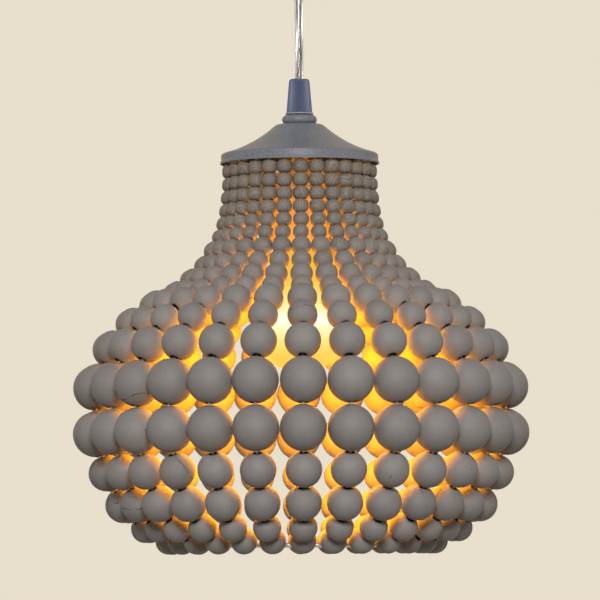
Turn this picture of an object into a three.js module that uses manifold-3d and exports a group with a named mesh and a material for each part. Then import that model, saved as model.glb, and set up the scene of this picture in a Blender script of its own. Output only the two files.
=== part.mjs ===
// A pendant lamp whose shade is upright steel wires threaded with turned wooden balls.
// Millimetres, +Z up. The origin is on the ceiling, in the middle of the rose that the lamp hangs from.
import * as THREE from 'three';
import { mergeVertices } from 'three/addons/utils/BufferGeometryUtils.js';
import Module from 'manifold-3d';

const wasm = await Module();
wasm.setup();

// What every piece shares
const seatGap = 0.3; // between pieces that rest on each other
const overrun = 1; // how far a cutter runs past what it cuts
const fewSides = 8; // facets round a screw and a terminal
const smallSides = 12; // facets round a small turned piece
const middleSides = 20; // facets round the collar and the rose
const wideSides = 28; // facets round the cap and the rings
const quarterTurn = Math.PI / 2;
const fullTurn = Math.PI * 2;

// Ceiling rose
const roseRadius = 50;
const roseHeight = 30;
const roseWall = 0.9;
const roseCornerRadius = 8;
const strapWidth = 18;
const strapThickness = 2;
const earDrop = 14;
const strapSlotSpacing = 54;
const strapSlotLength = 10;
const strapSlotWidth = 4.6;
const roseScrewRadius = 2;
const roseScrewDrop = 9;
const roseScrewHeadRadius = 3.8;
const roseScrewHeadHeight = 2.2;
const screwCrownShare = 0.9; // where the head's edge turns over, of its radius
const screwCheekShare = 0.5; // and of its height
const roseScrewLength = 9;
const terminalLength = 28;
const terminalWidth = 12;
const terminalBaseHeight = 7;
const terminalTowerRadius = 3.6;
const terminalTowerHeight = 4;
const terminalPitch = 9;
const roseGripFlangeRadius = 9;
const roseGripFlangeHeight = 2.5;
const roseGripTipRadius = 6.6;
const roseGripDrop = 12;
const roseGripNeckRadius = 5;
const roseGripNeckHeight = 8;

// Cord
const cordRadius = 3;
const cordSides = 10;
const cordStepLength = 15;
const cordFreeLength = 64.9;
const cordClearance = 0.5; // round the cord in a grip's bore
const cordSwing = THREE.MathUtils.degToRad(20); // how far the cord swings in a grip's mouth
const mouthDepth = 1.2; // how deep the cord bends in each grip's mouth
const mouthFlare = 1.2;

// Threaded tube, nuts and washer
const tubeRadius = 5;
const tubeBoreRadius = 3.6;
const tubeInGrip = 12;
const tubeInHolder = 6;
const nutSides = 6;
const nutAcrossFlats = 14;
const nutHeight = 4;
const washerRadius = 11;
const washerThickness = 1.5;

// Ribbed cord grip on the lamp
const gripHeight = 23.6;
const gripFootRadius = 9.2;
const gripFootHeight = 1.2;
const gripLowRadius = 8.6;
const gripHighRadius = 6.9;
const gripRibDepth = 0.5;
const gripRibCount = 32;
const gripCrownHeight = 1.4;
const gripCrownRadius = 6;
const gripStandOff = 1.4; // bare thread between the grip and the collar

// Collar between the grip and the cap
const collarRadius = 11.7;
const collarHeight = 5.2;
const collarBulge = 2.4;

// Spun cap
const capWall = 0.9;
const capHeight = 26.6;
const rimHeight = 7;
const rimEdge = 1;
const coneTopRadius = 18.6;
const coneTopDrop = 2.6;
const coneSag = 2.1;
const shoulderRadius = 15.6;
const ballClearance = 0.7; // between the top row of balls and the cap's rim

// Wires: a neck, a flare, a shoulder, a side and a hem, each an arc that runs on into the next
const wireRadius = 1;
const neckRadius = 46.6;
const topRowDrop = 4.9; // from the rim's lower edge to the middle of the top row
const neckBendRadius = 159.5;
const neckBendAngle = THREE.MathUtils.degToRad(10.9);
const flareBendRadius = 79.3;
const flareBendAngle = THREE.MathUtils.degToRad(48.1);
const slopeLength = 15.4;
const shoulderBendRadius = 79.3;
const sideBendRadius = 114;
const sideBendAngle = THREE.MathUtils.degToRad(35.4);
const hemBendRadius = 60.3;
const firstStringAngle = THREE.MathUtils.degToRad(0.93); // from the front, towards +X

// Turned balls, drilled through
const holeDiameter = 5;
const tinyBall = 10.1;
const smallBall = 12.7;
const middleBall = 14.5;
const largeBall = 19.4;
const heavyBall = 23.5;
const bellyBall = 30.2;
const hemBall = 18.5;
const lastBall = 17.2;
const neckSlack = 0.2; // clear wire between two balls of the neck
const bodySlack = 1; // clear wire between two balls below the flare
const rowSpare = 0.2; // least room between neighbours in a row

// Rings that the wires end on
const topRingWidth = 9;
const topRingThickness = 1.6;
const topRingInset = 2.7; // from the rim's lower edge up to the ring
const hoopWireRadius = 1.5;
const hoopSides = 5;

// Lamp holder
const tubeBareLength = 17;
const holderRadius = 19.5;
const holderWall = 1.8;
const holderNeckRadius = 9;
const holderNeckHeight = 5;
const holderCapHeight = 18;
const holderCapBulge = 2.5;
const holderBodyHeight = 40;
const holderLedge = 12; // from the body's top edge down to the ledge below the insert
const insertHeight = 10;
const shellWall = 0.6;
const shellLength = 25;
const contactWidth = 4;
const contactThickness = 0.5;
const contactReach = 6;
const contactDrop = 2.4;

// Bulb
const bulbCapRadius = 13.2;
const bulbCapLength = 22;
const bulbCapChamfer = 2;
const insulatorHeight = 1.8;
const insulatorRadius = 10;
const bulbContactRadius = 4.6;
const bulbContactHeight = 0.9;
const bulbBodyHeight = 24;
const bulbBodyTopRadius = 14.5;
const bulbBodyLowRadius = 25;
const bulbBodyBulge = 1.2;
const globeRadius = 30;
const globeWall = 1.4;
const globeShoulderHeight = 29;
const globeSides = 14;

// Heights, from the ceiling down
const roseFloorZ = -roseHeight;
const roseGripTipZ = roseFloorZ - seatGap - roseGripDrop;
const cordTopZ = roseGripTipZ + mouthDepth;
const cordLowZ = cordTopZ - cordFreeLength;
const gripTopZ = cordLowZ + mouthDepth;
const gripFootZ = gripTopZ - gripHeight;
const collarTopZ = gripFootZ - gripStandOff;
const capTopZ = collarTopZ - collarHeight - seatGap;
const rimLowZ = capTopZ - capHeight;
const rimTopZ = rimLowZ + rimHeight;
const topRowZ = rimLowZ - topRowDrop;
const washerTopZ = capTopZ - capWall - seatGap;
const nutTopZ = washerTopZ - washerThickness - seatGap;
const holderNeckZ = nutTopZ - nutHeight - tubeBareLength;
const tubeTopZ = gripFootZ + tubeInGrip;
const tubeLowZ = holderNeckZ - tubeInHolder;
const holderJoinZ = holderNeckZ - holderCapHeight;
const holderTopZ = holderJoinZ - seatGap;
const holderLowZ = holderTopZ - holderBodyHeight;
const ledgeZ = holderTopZ - holderLedge;
const insertLowZ = ledgeZ + seatGap;
const insertTopZ = insertLowZ + insertHeight;
const shellTopZ = insertLowZ - seatGap;
const bulbContactTopZ = insertLowZ - contactDrop - seatGap - contactThickness - seatGap;
const insulatorTopZ = bulbContactTopZ - bulbContactHeight - seatGap;
const bulbCapTopZ = insulatorTopZ - insulatorHeight - seatGap;
const bulbBodyTopZ = bulbCapTopZ - bulbCapLength - seatGap;
const bulbBodyLowZ = bulbBodyTopZ - bulbBodyHeight;
const globeTopZ = bulbBodyLowZ - seatGap;
const globeMiddleZ = globeTopZ - globeShoulderHeight;

// Radii that follow from what passes through or seats inside
const tubeHoleRadius = tubeRadius + seatGap;
const cordBoreRadius = cordRadius + cordClearance;
const cordSwingRoom = cordRadius * Math.sin(cordSwing) + seatGap; // beyond the ends of the free cord
const rimInnerRadius = neckRadius + tinyBall / 2 + ballClearance;
const rimRadius = rimInnerRadius + capWall;
const shellInnerRadius = bulbCapRadius + seatGap;
const shellOuterRadius = shellInnerRadius + shellWall;
const holderInnerRadius = holderRadius - holderWall;

const lamp = new THREE.Group();

// A finish, as every mesh has one of its own.
function finish(color, roughness, metalness) {
  return new THREE.MeshStandardMaterial({ color, roughness, metalness });
}

const paintedSteel = () => finish('#8f9096', 0.62, 0.1);
const ribbedPlastic = () => finish('#767b8d', 0.5, 0);
const turnedWood = () => finish('#8a8583', 0.75, 0);
const plainSteel = () => finish('#a9abad', 0.35, 1);
const brass = () => finish('#c2a35c', 0.35, 1);
const brightCap = () => finish('#c7c7c4', 0.3, 1);
const whitePlastic = () => finish('#e9e7e1', 0.45, 0);
const darkPlastic = () => finish('#3a3a3d', 0.45, 0);
const porcelain = () => finish('#ece8dd', 0.3, 0);
const clearVinyl = () => finish('#c9cbcc', 0.2, 0);
const litDiffuser = () => finish('#fff1cf', 0.4, 0);

// Adds a named piece to a group, with its geometry already in the part's frame.
function piece(name, geometry, material, group = lamp) {
  const mesh = new THREE.Mesh(geometry, material);
  mesh.name = name;
  group.add(mesh);
  return mesh;
}

// A turned piece: the profile's [radius, z] points go round its section anticlockwise, and a closed one
// needs no repeat of its first point.
function turned(profile, sides = smallSides) {
  const onAxis = profile[0][0] === 0 && profile[profile.length - 1][0] === 0;
  const loop = onAxis ? profile : [...profile, profile[0]];
  const points = loop.map(([radius, z]) => new THREE.Vector2(radius, z));
  return new THREE.LatheGeometry(points, sides).rotateX(quarterTurn);
}

// The points after from, up to and with to, on an arc that stands off the straight line by sag at its
// middle, on the right-hand side of the way from one to the other.
function arcPoints(from, to, sag, steps) {
  const alongR = to[0] - from[0];
  const alongZ = to[1] - from[1];
  const chord = Math.hypot(alongR, alongZ);
  const half = 2 * Math.atan2(2 * sag, chord);
  const points = [];
  for (let i = 1; i <= steps; i++) {
    const angle = (2 * i / steps - 1) * half;
    const along = sag === 0 ? i / steps : 0.5 + Math.sin(angle) / Math.sin(half) / 2;
    const off = sag === 0 ? 0 : (Math.cos(angle) - Math.cos(half)) / Math.sin(half) / 2;
    points.push([from[0] + alongR * along + alongZ * off, from[1] + alongZ * along - alongR * off]);
  }
  return points;
}

// A lofted body through rings of points. A ring is { points, start }: its points are spread evenly from
// the angle start, anticlockwise about the way that the rings go. Rings may have different counts.
function loft(rings, closed = false) {
  const positions = [];
  const first = rings.map((ring) => {
    const at = positions.length / 3;
    positions.push(...ring.points.flatMap((point) => point.toArray()));
    return at;
  });
  const faces = [];
  const strips = closed ? rings.length : rings.length - 1;
  for (let k = 0; k < strips; k++) {
    const next = (k + 1) % rings.length;
    const here = rings[k].points.length;
    const there = rings[next].points.length;
    let i = 0;
    let j = 0;
    while (i < here || j < there) {
      const nextHere = rings[k].start + (i + 1) / here * fullTurn;
      const nextThere = rings[next].start + (j + 1) / there * fullTurn;
      const a = first[k] + i % here;
      const b = first[next] + j % there;
      if (j === there || (i < here && nextHere <= nextThere)) {
        faces.push(a, first[k] + (i + 1) % here, b);
        i += 1;
      } else {
        faces.push(a, first[next] + (j + 1) % there, b);
        j += 1;
      }
    }
  }
  if (!closed) {
    for (let i = 1; i < rings[0].points.length - 1; i++) {
      faces.push(first[0], first[0] + i + 1, first[0] + i);
    }
    const last = first[rings.length - 1];
    for (let i = 1; i < rings[rings.length - 1].points.length - 1; i++) {
      faces.push(last, last + i, last + i + 1);
    }
  }
  const geometry = new THREE.BufferGeometry();
  geometry.setAttribute('position', new THREE.Float32BufferAttribute(positions, 3));
  geometry.setIndex(faces);
  geometry.computeVertexNormals();
  return geometry;
}

// A level ring about the lamp's axis, whose radius may follow the angle.
function levelRing(radiusAt, z, sides) {
  const points = [];
  for (let i = 0; i < sides; i++) {
    const radius = typeof radiusAt === 'number' ? radiusAt : radiusAt(i);
    const angle = i / sides * fullTurn;
    points.push(new THREE.Vector3(radius * Math.cos(angle), radius * Math.sin(angle), z));
  }
  return { points, start: 0 };
}

function toSolid(geometry) {
  const bare = geometry.clone();
  bare.deleteAttribute('normal');
  bare.deleteAttribute('uv');
  const merged = mergeVertices(bare);
  return new wasm.Manifold(new wasm.Mesh({
    numProp: 3,
    vertProperties: merged.attributes.position.array,
    triVerts: new Uint32Array(merged.index.array),
  }));
}

function fromSolid(solid) {
  const mesh = solid.getMesh();
  const geometry = new THREE.BufferGeometry();
  geometry.setAttribute('position', new THREE.BufferAttribute(mesh.vertProperties, 3));
  geometry.setIndex(new THREE.BufferAttribute(mesh.triVerts, 1));
  geometry.computeVertexNormals();
  return geometry;
}

function cut(body, ...cutters) {
  return fromSolid(cutters.reduce((left, cutter) => left.subtract(toSolid(cutter)), toSolid(body)));
}

function join(body, ...others) {
  return fromSolid(others.reduce((whole, other) => whole.add(toSolid(other)), toSolid(body)));
}

// A straight round bar along one of the axes, centred on at.
function bar(radius, length, axis, at, sides = smallSides) {
  const geometry = new THREE.CylinderGeometry(radius, radius, length, sides);
  if (axis === 'x') geometry.rotateZ(quarterTurn);
  if (axis === 'z') geometry.rotateX(quarterTurn);
  return geometry.translate(...at);
}

// A nut, its lower face at z, round a hole for the threaded tube.
function nut(lowZ) {
  const outline = new THREE.Shape();
  const corner = nutAcrossFlats / 2 / Math.cos(Math.PI / nutSides);
  for (let i = 0; i < nutSides; i++) {
    const angle = i / nutSides * fullTurn;
    outline[i ? 'lineTo' : 'moveTo'](corner * Math.cos(angle), corner * Math.sin(angle));
  }
  outline.closePath();
  const hole = new THREE.Path();
  hole.absarc(0, 0, tubeHoleRadius, 0, fullTurn, true);
  outline.holes.push(hole);
  return new THREE.ExtrudeGeometry(outline, {
    depth: nutHeight,
    bevelEnabled: false,
    curveSegments: smallSides / 2,
  }).translate(0, 0, lowZ);
}

// A straight length of the cord, upright on the lamp's axis.
function cordLength(topZ, lowZ) {
  const section = new THREE.Shape();
  section.absarc(0, 0, cordRadius, 0, fullTurn, false);
  const route = new THREE.LineCurve3(new THREE.Vector3(0, 0, topZ), new THREE.Vector3(0, 0, lowZ));
  const steps = Math.max(1, Math.round((topZ - lowZ) / cordStepLength));
  return new THREE.ExtrudeGeometry(section, { steps, curveSegments: cordSides / 2, extrudePath: route });
}

// Ceiling rose: a strap screwed to the ceiling, the cup that hides it, and the grip that holds the cord.
function ceilingStrap() {
  const roomRadius = (roseRadius - roseWall) * Math.cos(Math.PI / middleSides) - seatGap;
  const reach = Math.sqrt(roomRadius ** 2 - (strapWidth / 2) ** 2);
  const side = new THREE.Shape();
  side.moveTo(-reach, 0);
  side.lineTo(-reach, -earDrop);
  side.lineTo(-reach + strapThickness, -earDrop);
  side.lineTo(-reach + strapThickness, -strapThickness);
  side.lineTo(reach - strapThickness, -strapThickness);
  side.lineTo(reach - strapThickness, -earDrop);
  side.lineTo(reach, -earDrop);
  side.lineTo(reach, 0);
  side.closePath();
  const strap = new THREE.ExtrudeGeometry(side, { depth: strapWidth, bevelEnabled: false });
  strap.rotateX(quarterTurn).translate(0, strapWidth / 2, 0);
  const screwBores = bar(roseScrewRadius + seatGap, 2 * (reach + overrun), 'x', [0, 0, -roseScrewDrop]);
  const slots = [-1, 1].map((sideOf) => {
    const outline = new THREE.Shape();
    const half = (strapSlotLength - strapSlotWidth) / 2;
    outline.absarc(half, 0, strapSlotWidth / 2, -quarterTurn, quarterTurn, false);
    outline.absarc(-half, 0, strapSlotWidth / 2, quarterTurn, 3 * quarterTurn, false);
    const slot = new THREE.ExtrudeGeometry(outline, {
      depth: strapThickness + 2 * overrun,
      bevelEnabled: false,
      curveSegments: fewSides / 4,
    });
    return slot.translate(sideOf * strapSlotSpacing / 2, 0, -strapThickness - overrun);
  });
  return cut(strap, screwBores, ...slots);
}

function roseCup() {
  const innerRadius = roseRadius - roseWall;
  const cornerZ = roseFloorZ + roseCornerRadius;
  const flatRadius = roseRadius - roseCornerRadius;
  const cornerSag = roseCornerRadius * (1 - Math.SQRT1_2);
  const innerFloorZ = roseFloorZ + roseWall;
  const cup = turned([
    [tubeHoleRadius, roseFloorZ],
    [flatRadius, roseFloorZ],
    ...arcPoints([flatRadius, roseFloorZ], [roseRadius, cornerZ], cornerSag, 2),
    [roseRadius, 0],
    [innerRadius, 0],
    [innerRadius, cornerZ],
    [flatRadius, innerFloorZ],
    [tubeHoleRadius, innerFloorZ],
  ], middleSides);
  const bore = bar(roseScrewRadius + seatGap, 2 * (roseRadius + overrun), 'x', [0, 0, -roseScrewDrop]);
  return cut(cup, bore);
}

function roseScrew() {
  return turned([
    [0, -roseScrewLength],
    [roseScrewRadius, -roseScrewLength],
    [roseScrewRadius, 0],
    [roseScrewHeadRadius, 0],
    [roseScrewHeadRadius * screwCrownShare, roseScrewHeadHeight * screwCheekShare],
    [0, roseScrewHeadHeight],
  ], fewSides);
}

function roseCordGrip() {
  const flangeTopZ = roseFloorZ - seatGap;
  const flangeLowZ = flangeTopZ - roseGripFlangeHeight;
  return turned([
    [cordBoreRadius + mouthFlare, roseGripTipZ],
    [roseGripTipRadius, roseGripTipZ],
    [roseGripFlangeRadius - seatGap, flangeLowZ],
    [roseGripFlangeRadius, flangeLowZ],
    [roseGripFlangeRadius, flangeTopZ],
    [roseGripNeckRadius, flangeTopZ],
    [roseGripNeckRadius, roseFloorZ + roseGripNeckHeight],
    [cordBoreRadius, roseFloorZ + roseGripNeckHeight],
    [cordBoreRadius, roseGripTipZ + mouthDepth],
  ]);
}

function terminalBlock() {
  const topZ = -strapThickness - seatGap;
  const base = new THREE.BoxGeometry(terminalLength, terminalWidth, terminalBaseHeight);
  base.translate(0, 0, topZ - terminalBaseHeight / 2);
  const towers = [-1, 0, 1].map((place) => bar(
    terminalTowerRadius,
    terminalTowerHeight + overrun,
    'z',
    [place * terminalPitch, 0, topZ - terminalBaseHeight - (terminalTowerHeight - overrun) / 2],
    fewSides,
  ));
  return join(base, ...towers);
}

const terminalLowZ = -strapThickness - seatGap - terminalBaseHeight - terminalTowerHeight;
piece('ceiling_bracket', ceilingStrap(), plainSteel());
piece('rose_cup', roseCup(), paintedSteel());
for (const [side, turn] of [['left', -quarterTurn], ['right', quarterTurn]]) {
  const screw = piece('rose_screw_' + side, roseScrew(), plainSteel());
  screw.rotation.y = turn;
  screw.position.set(Math.sign(turn) * (roseRadius + seatGap), 0, -roseScrewDrop);
}
piece('rose_cord_grip', roseCordGrip(), ribbedPlastic());
piece('rose_grip_nut', nut(roseFloorZ + roseWall + seatGap), darkPlastic());
piece('terminal_block', terminalBlock(), whitePlastic());
piece('rose_cord_tail', cordLength(terminalLowZ - seatGap, cordTopZ + cordSwingRoom), clearVinyl());

// The free cord, between the mouths of its two grips
piece('cord', cordLength(cordTopZ, cordLowZ), clearVinyl());

// Ribbed grip: fine upright ribs on a tapering body, with a plain foot and crown, and a stepped bore.
function cordGrip() {
  const points = 2 * gripRibCount;
  const ribbed = (radius) => (i) => radius - (i % 2 ? gripRibDepth : 0);
  const footTopZ = gripFootZ + gripFootHeight;
  const crownZ = gripTopZ - gripCrownHeight;
  return loft([
    levelRing(gripFootRadius, gripFootZ, gripRibCount),
    levelRing(gripFootRadius, footTopZ, gripRibCount),
    levelRing(ribbed(gripLowRadius), footTopZ, points),
    levelRing(ribbed(gripHighRadius), crownZ, points),
    levelRing(gripCrownRadius, gripTopZ, gripRibCount),
    levelRing(cordBoreRadius + mouthFlare, gripTopZ, smallSides),
    levelRing(cordBoreRadius, cordLowZ, smallSides),
    levelRing(cordBoreRadius, tubeTopZ + seatGap, smallSides),
    levelRing(tubeHoleRadius, tubeTopZ + seatGap, smallSides),
    levelRing(tubeHoleRadius, gripFootZ, smallSides),
  ], true);
}

function collar() {
  const waist = collarRadius - collarBulge;
  const lowZ = collarTopZ - collarHeight;
  return turned([
    [tubeHoleRadius, lowZ],
    [waist, lowZ],
    ...arcPoints([waist, lowZ], [waist, collarTopZ], collarBulge, 4),
    [tubeHoleRadius, collarTopZ],
  ], middleSides);
}

// Spun cap: a band rim, a cone that hollows towards it, a rounded shoulder and a flat top with a hole.
function topCap() {
  const coneFoot = [rimRadius - rimEdge, rimTopZ];
  const coneTop = [coneTopRadius, capTopZ - coneTopDrop];
  const innerConeTop = [coneTopRadius, coneTop[1] - capWall];
  const innerConeFoot = [rimInnerRadius, rimTopZ - capWall];
  return turned([
    [rimInnerRadius, rimLowZ],
    [rimRadius, rimLowZ],
    [rimRadius, rimTopZ - rimEdge],
    coneFoot,
    ...arcPoints(coneFoot, coneTop, -coneSag, 3),
    [shoulderRadius, capTopZ],
    [tubeHoleRadius, capTopZ],
    [tubeHoleRadius, capTopZ - capWall],
    [shoulderRadius, capTopZ - capWall],
    innerConeTop,
    ...arcPoints(innerConeTop, innerConeFoot, coneSag, 2),
  ], wideSides);
}

function ringOf(innerRadius, outerRadius, lowZ, topZ, sides = smallSides) {
  return turned([[innerRadius, lowZ], [outerRadius, lowZ], [outerRadius, topZ], [innerRadius, topZ]], sides);
}

const gripGroup = new THREE.Group();
const bodyGroup = new THREE.Group();
lamp.add(gripGroup, bodyGroup);
piece('cord_grip', cordGrip(), ribbedPlastic(), gripGroup);
piece(
  'lamp_cord_tail',
  cordLength(cordLowZ - cordSwingRoom, insertTopZ + seatGap),
  clearVinyl(),
  gripGroup,
);
piece('collar', collar(), paintedSteel(), bodyGroup);
piece('top_cap', topCap(), paintedSteel(), bodyGroup);
piece('threaded_tube', ringOf(tubeBoreRadius, tubeRadius, tubeLowZ, tubeTopZ), plainSteel(), bodyGroup);
piece(
  'washer',
  ringOf(tubeHoleRadius, washerRadius, washerTopZ - washerThickness, washerTopZ),
  plainSteel(),
  bodyGroup,
);
piece('lock_nut', nut(nutTopZ - nutHeight), plainSteel(), bodyGroup);

// Where a wire runs, seen from the side: its radius, height and lean at a length along it from the middle
// of the top row. The lean is from straight down, and positive where the wire runs outwards.
const upperBends = neckBendAngle + flareBendAngle;
const wireStretches = [
  { length: neckBendRadius * neckBendAngle, curl: 1 / neckBendRadius },
  { length: flareBendRadius * flareBendAngle, curl: 1 / flareBendRadius },
  { length: slopeLength, curl: 0 },
  { length: shoulderBendRadius * upperBends, curl: -1 / shoulderBendRadius },
  { length: sideBendRadius * sideBendAngle, curl: -1 / sideBendRadius },
  { length: Infinity, curl: -1 / hemBendRadius },
];

function alongWire(distance) {
  let [radius, z, lean] = [neckRadius, topRowZ, 0];
  if (distance < 0) return { radius, z: z - distance, lean };
  let left = distance;
  for (const { length, curl } of wireStretches) {
    const run = Math.min(left, length);
    const turn = curl * run;
    radius += curl ? (Math.cos(lean) - Math.cos(lean + turn)) / curl : run * Math.sin(lean);
    z -= curl ? (Math.sin(lean + turn) - Math.sin(lean)) / curl : run * Math.cos(lean);
    lean += turn;
    left -= run;
    if (left <= 0) break;
  }
  return { radius, z, lean };
}

// The balls of one string from the top: the rings of facets that round each off, how many sides a ring
// has, and the clear wire above the ball.
const oneRing = { rings: 1, sides: 5, slack: neckSlack };
const twoRings = { rings: 2, sides: 4, slack: bodySlack };
const ballRows = [
  ...Array(6).fill({ ...oneRing, diameter: tinyBall }),
  ...Array(2).fill({ ...oneRing, diameter: smallBall }),
  ...Array(2).fill({ ...oneRing, diameter: middleBall }),
  { ...twoRings, diameter: largeBall, slack: neckSlack },
  { ...twoRings, diameter: largeBall },
  { ...twoRings, diameter: heavyBall },
  ...Array(2).fill({ ...twoRings, diameter: bellyBall, sides: 5 }),
  ...Array(2).fill({ ...twoRings, diameter: heavyBall }),
  { ...twoRings, diameter: hemBall },
  { ...twoRings, diameter: lastBall },
];
const ballRingShare = 0.42; // how far a ball's two rings lie from its middle, of its radius

// Each ball's place along the wire: a drilled ball is as high as its hole leaves it.
const ballPlaces = [];
for (const row of ballRows) {
  const half = Math.sqrt(row.diameter ** 2 - holeDiameter ** 2) / 2;
  const above = ballPlaces[ballPlaces.length - 1];
  const middle = above ? above.middle + above.half + row.slack + half : 0;
  ballPlaces.push({ ...row, half, middle, ...alongWire(middle) });
}

// As many strings as the fullest row has room for
const stringCount = Math.floor(Math.min(...ballPlaces.map(
  (ball) => Math.PI / Math.asin((ball.diameter + rowSpare) / (2 * ball.radius)),
)));

// A ring of points round the wire, at a length along it.
function wireRing(distance, radius, sides, start) {
  const place = alongWire(distance);
  const middle = new THREE.Vector3(place.radius, 0, place.z);
  const outward = new THREE.Vector3(Math.cos(place.lean), 0, Math.sin(place.lean));
  const along = new THREE.Vector3(Math.sin(place.lean), 0, -Math.cos(place.lean));
  const sideways = new THREE.Vector3().crossVectors(along, outward);
  const points = [];
  for (let i = 0; i < sides; i++) {
    const angle = start + i / sides * fullTurn;
    const point = middle.clone();
    point.addScaledVector(outward, radius * Math.cos(angle));
    point.addScaledVector(sideways, radius * Math.sin(angle));
    points.push(point);
  }
  return { points, start };
}

// One string: the wire and its balls as one body, from just under the top ring to just before the hoop.
function beadString() {
  const wireSides = 3;
  const firstBall = ballPlaces[0];
  const finalBall = ballPlaces[ballPlaces.length - 1];
  const rings = [wireRing(-(topRowDrop + topRingInset - seatGap), wireRadius, wireSides, 0)];
  rings.push(wireRing(-firstBall.half, wireRadius, wireSides, 0));
  ballPlaces.forEach((ball, i) => {
    const radius = ball.diameter / 2;
    const step = fullTurn / ball.sides;
    if (ball.rings === 1) {
      rings.push(wireRing(ball.middle, radius, ball.sides, 0));
    } else {
      rings.push(wireRing(ball.middle - ballRingShare * radius, radius, ball.sides, step / 2));
      rings.push(wireRing(ball.middle + ballRingShare * radius, radius, ball.sides, 0));
    }
    const below = ballPlaces[i + 1];
    const neck = below ? ball.half + below.slack / 2 : ball.half;
    rings.push(wireRing(ball.middle + neck, wireRadius, wireSides, 0));
  });
  rings.push(wireRing(finalBall.middle + finalBall.half + bodySlack, wireRadius, wireSides, 0));
  return loft(rings);
}

// Hoop: the wires' lower ends reach it just inside the last row.
function bottomHoop() {
  const finalBall = ballPlaces[ballPlaces.length - 1];
  const reach = finalBall.middle + finalBall.half + bodySlack + seatGap + hoopWireRadius;
  const place = alongWire(reach);
  const hoop = new THREE.TorusGeometry(place.radius, hoopWireRadius, hoopSides, stringCount);
  return hoop.translate(0, 0, place.z);
}

const ringLowZ = rimLowZ + topRingInset;
const shadeGroup = new THREE.Group();
shadeGroup.rotation.z = firstStringAngle - quarterTurn;
lamp.add(shadeGroup);
const topRingRadius = rimInnerRadius - seatGap;
piece(
  'top_ring',
  ringOf(topRingRadius - topRingWidth, topRingRadius, ringLowZ, ringLowZ + topRingThickness, wideSides),
  plainSteel(),
  bodyGroup,
);
piece('bottom_hoop', bottomHoop(), plainSteel(), shadeGroup);
for (let i = 0; i < stringCount; i++) {
  const string = piece(
    'bead_string_' + String(i + 1).padStart(2, '0'),
    beadString(),
    turnedWood(),
    shadeGroup,
  );
  string.rotation.z = i / stringCount * fullTurn;
}

// Lamp holder: a domed cap on the threaded tube, and a skirt that carries the insert and its screw shell.
function holderCap() {
  const shoulderZ = holderNeckZ - holderNeckHeight;
  const sideTopZ = holderJoinZ + holderWall;
  const outerTop = [holderNeckRadius, shoulderZ];
  const outerSide = [holderRadius, sideTopZ];
  const innerTop = [tubeHoleRadius, shoulderZ - holderWall];
  const innerSide = [holderInnerRadius, holderJoinZ];
  return turned([
    [holderRadius, holderJoinZ],
    outerSide,
    ...arcPoints(outerSide, outerTop, holderCapBulge, 3),
    [holderNeckRadius, holderNeckZ],
    [tubeHoleRadius, holderNeckZ],
    innerTop,
    ...arcPoints(innerTop, innerSide, -holderCapBulge, 2),
  ]);
}

function holderBody() {
  const ledgeRadius = shellOuterRadius + seatGap;
  return turned([
    [ledgeRadius, holderLowZ],
    [holderRadius, holderLowZ],
    [holderRadius, holderTopZ],
    [holderInnerRadius, holderTopZ],
    [holderInnerRadius, ledgeZ],
    [ledgeRadius, ledgeZ],
  ]);
}

function holderInsert() {
  const radius = holderInnerRadius - seatGap;
  return turned([[0, insertLowZ], [radius, insertLowZ], [radius, insertTopZ], [0, insertTopZ]]);
}

// A spring tongue under the insert, bent down to the bulb's contact.
function centreContact() {
  const topZ = insertLowZ - seatGap;
  const tipZ = topZ - contactDrop;
  const side = new THREE.Shape();
  side.moveTo(contactReach, topZ);
  side.lineTo(-contactReach, tipZ);
  side.lineTo(-contactReach, tipZ - contactThickness);
  side.lineTo(0, tipZ - contactThickness);
  side.lineTo(contactReach, topZ - contactThickness);
  side.closePath();
  const tongue = new THREE.ExtrudeGeometry(side, { depth: contactWidth, bevelEnabled: false });
  return tongue.rotateX(quarterTurn).translate(0, contactWidth / 2, 0);
}

piece('holder_cap', holderCap(), whitePlastic(), bodyGroup);
piece('holder_body', holderBody(), whitePlastic(), bodyGroup);
piece('holder_insert', holderInsert(), porcelain(), bodyGroup);
piece(
  'screw_shell',
  ringOf(shellInnerRadius, shellOuterRadius, shellTopZ - shellLength, shellTopZ),
  brass(),
  bodyGroup,
);
piece('centre_contact', centreContact(), brass(), bodyGroup);

// Bulb: a pear-shaped diffuser on a tapered body, with a screw cap, an insulator and a contact on top.
const bulbGroup = new THREE.Group();
bodyGroup.add(bulbGroup);

function bulbCap() {
  const lowZ = bulbCapTopZ - bulbCapLength;
  return turned([
    [0, lowZ],
    [bulbCapRadius, lowZ],
    [bulbCapRadius, bulbCapTopZ - bulbCapChamfer],
    [insulatorRadius, bulbCapTopZ],
    [0, bulbCapTopZ],
  ]);
}

function bulbInsulator() {
  const lowZ = insulatorTopZ - insulatorHeight;
  return turned([
    [0, lowZ],
    [insulatorRadius, lowZ],
    [bulbContactRadius, insulatorTopZ],
    [0, insulatorTopZ],
  ]);
}

function bulbContact() {
  const lowZ = bulbContactTopZ - bulbContactHeight;
  return turned([
    [0, lowZ],
    [bulbContactRadius, lowZ],
    [bulbContactRadius, bulbContactTopZ],
    [0, bulbContactTopZ],
  ]);
}

function bulbBody() {
  const low = [bulbBodyLowRadius, bulbBodyLowZ];
  const top = [bulbBodyTopRadius, bulbBodyTopZ];
  return turned([[0, bulbBodyLowZ], low, ...arcPoints(low, top, bulbBodyBulge, 3), [0, bulbBodyTopZ]]);
}

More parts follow.
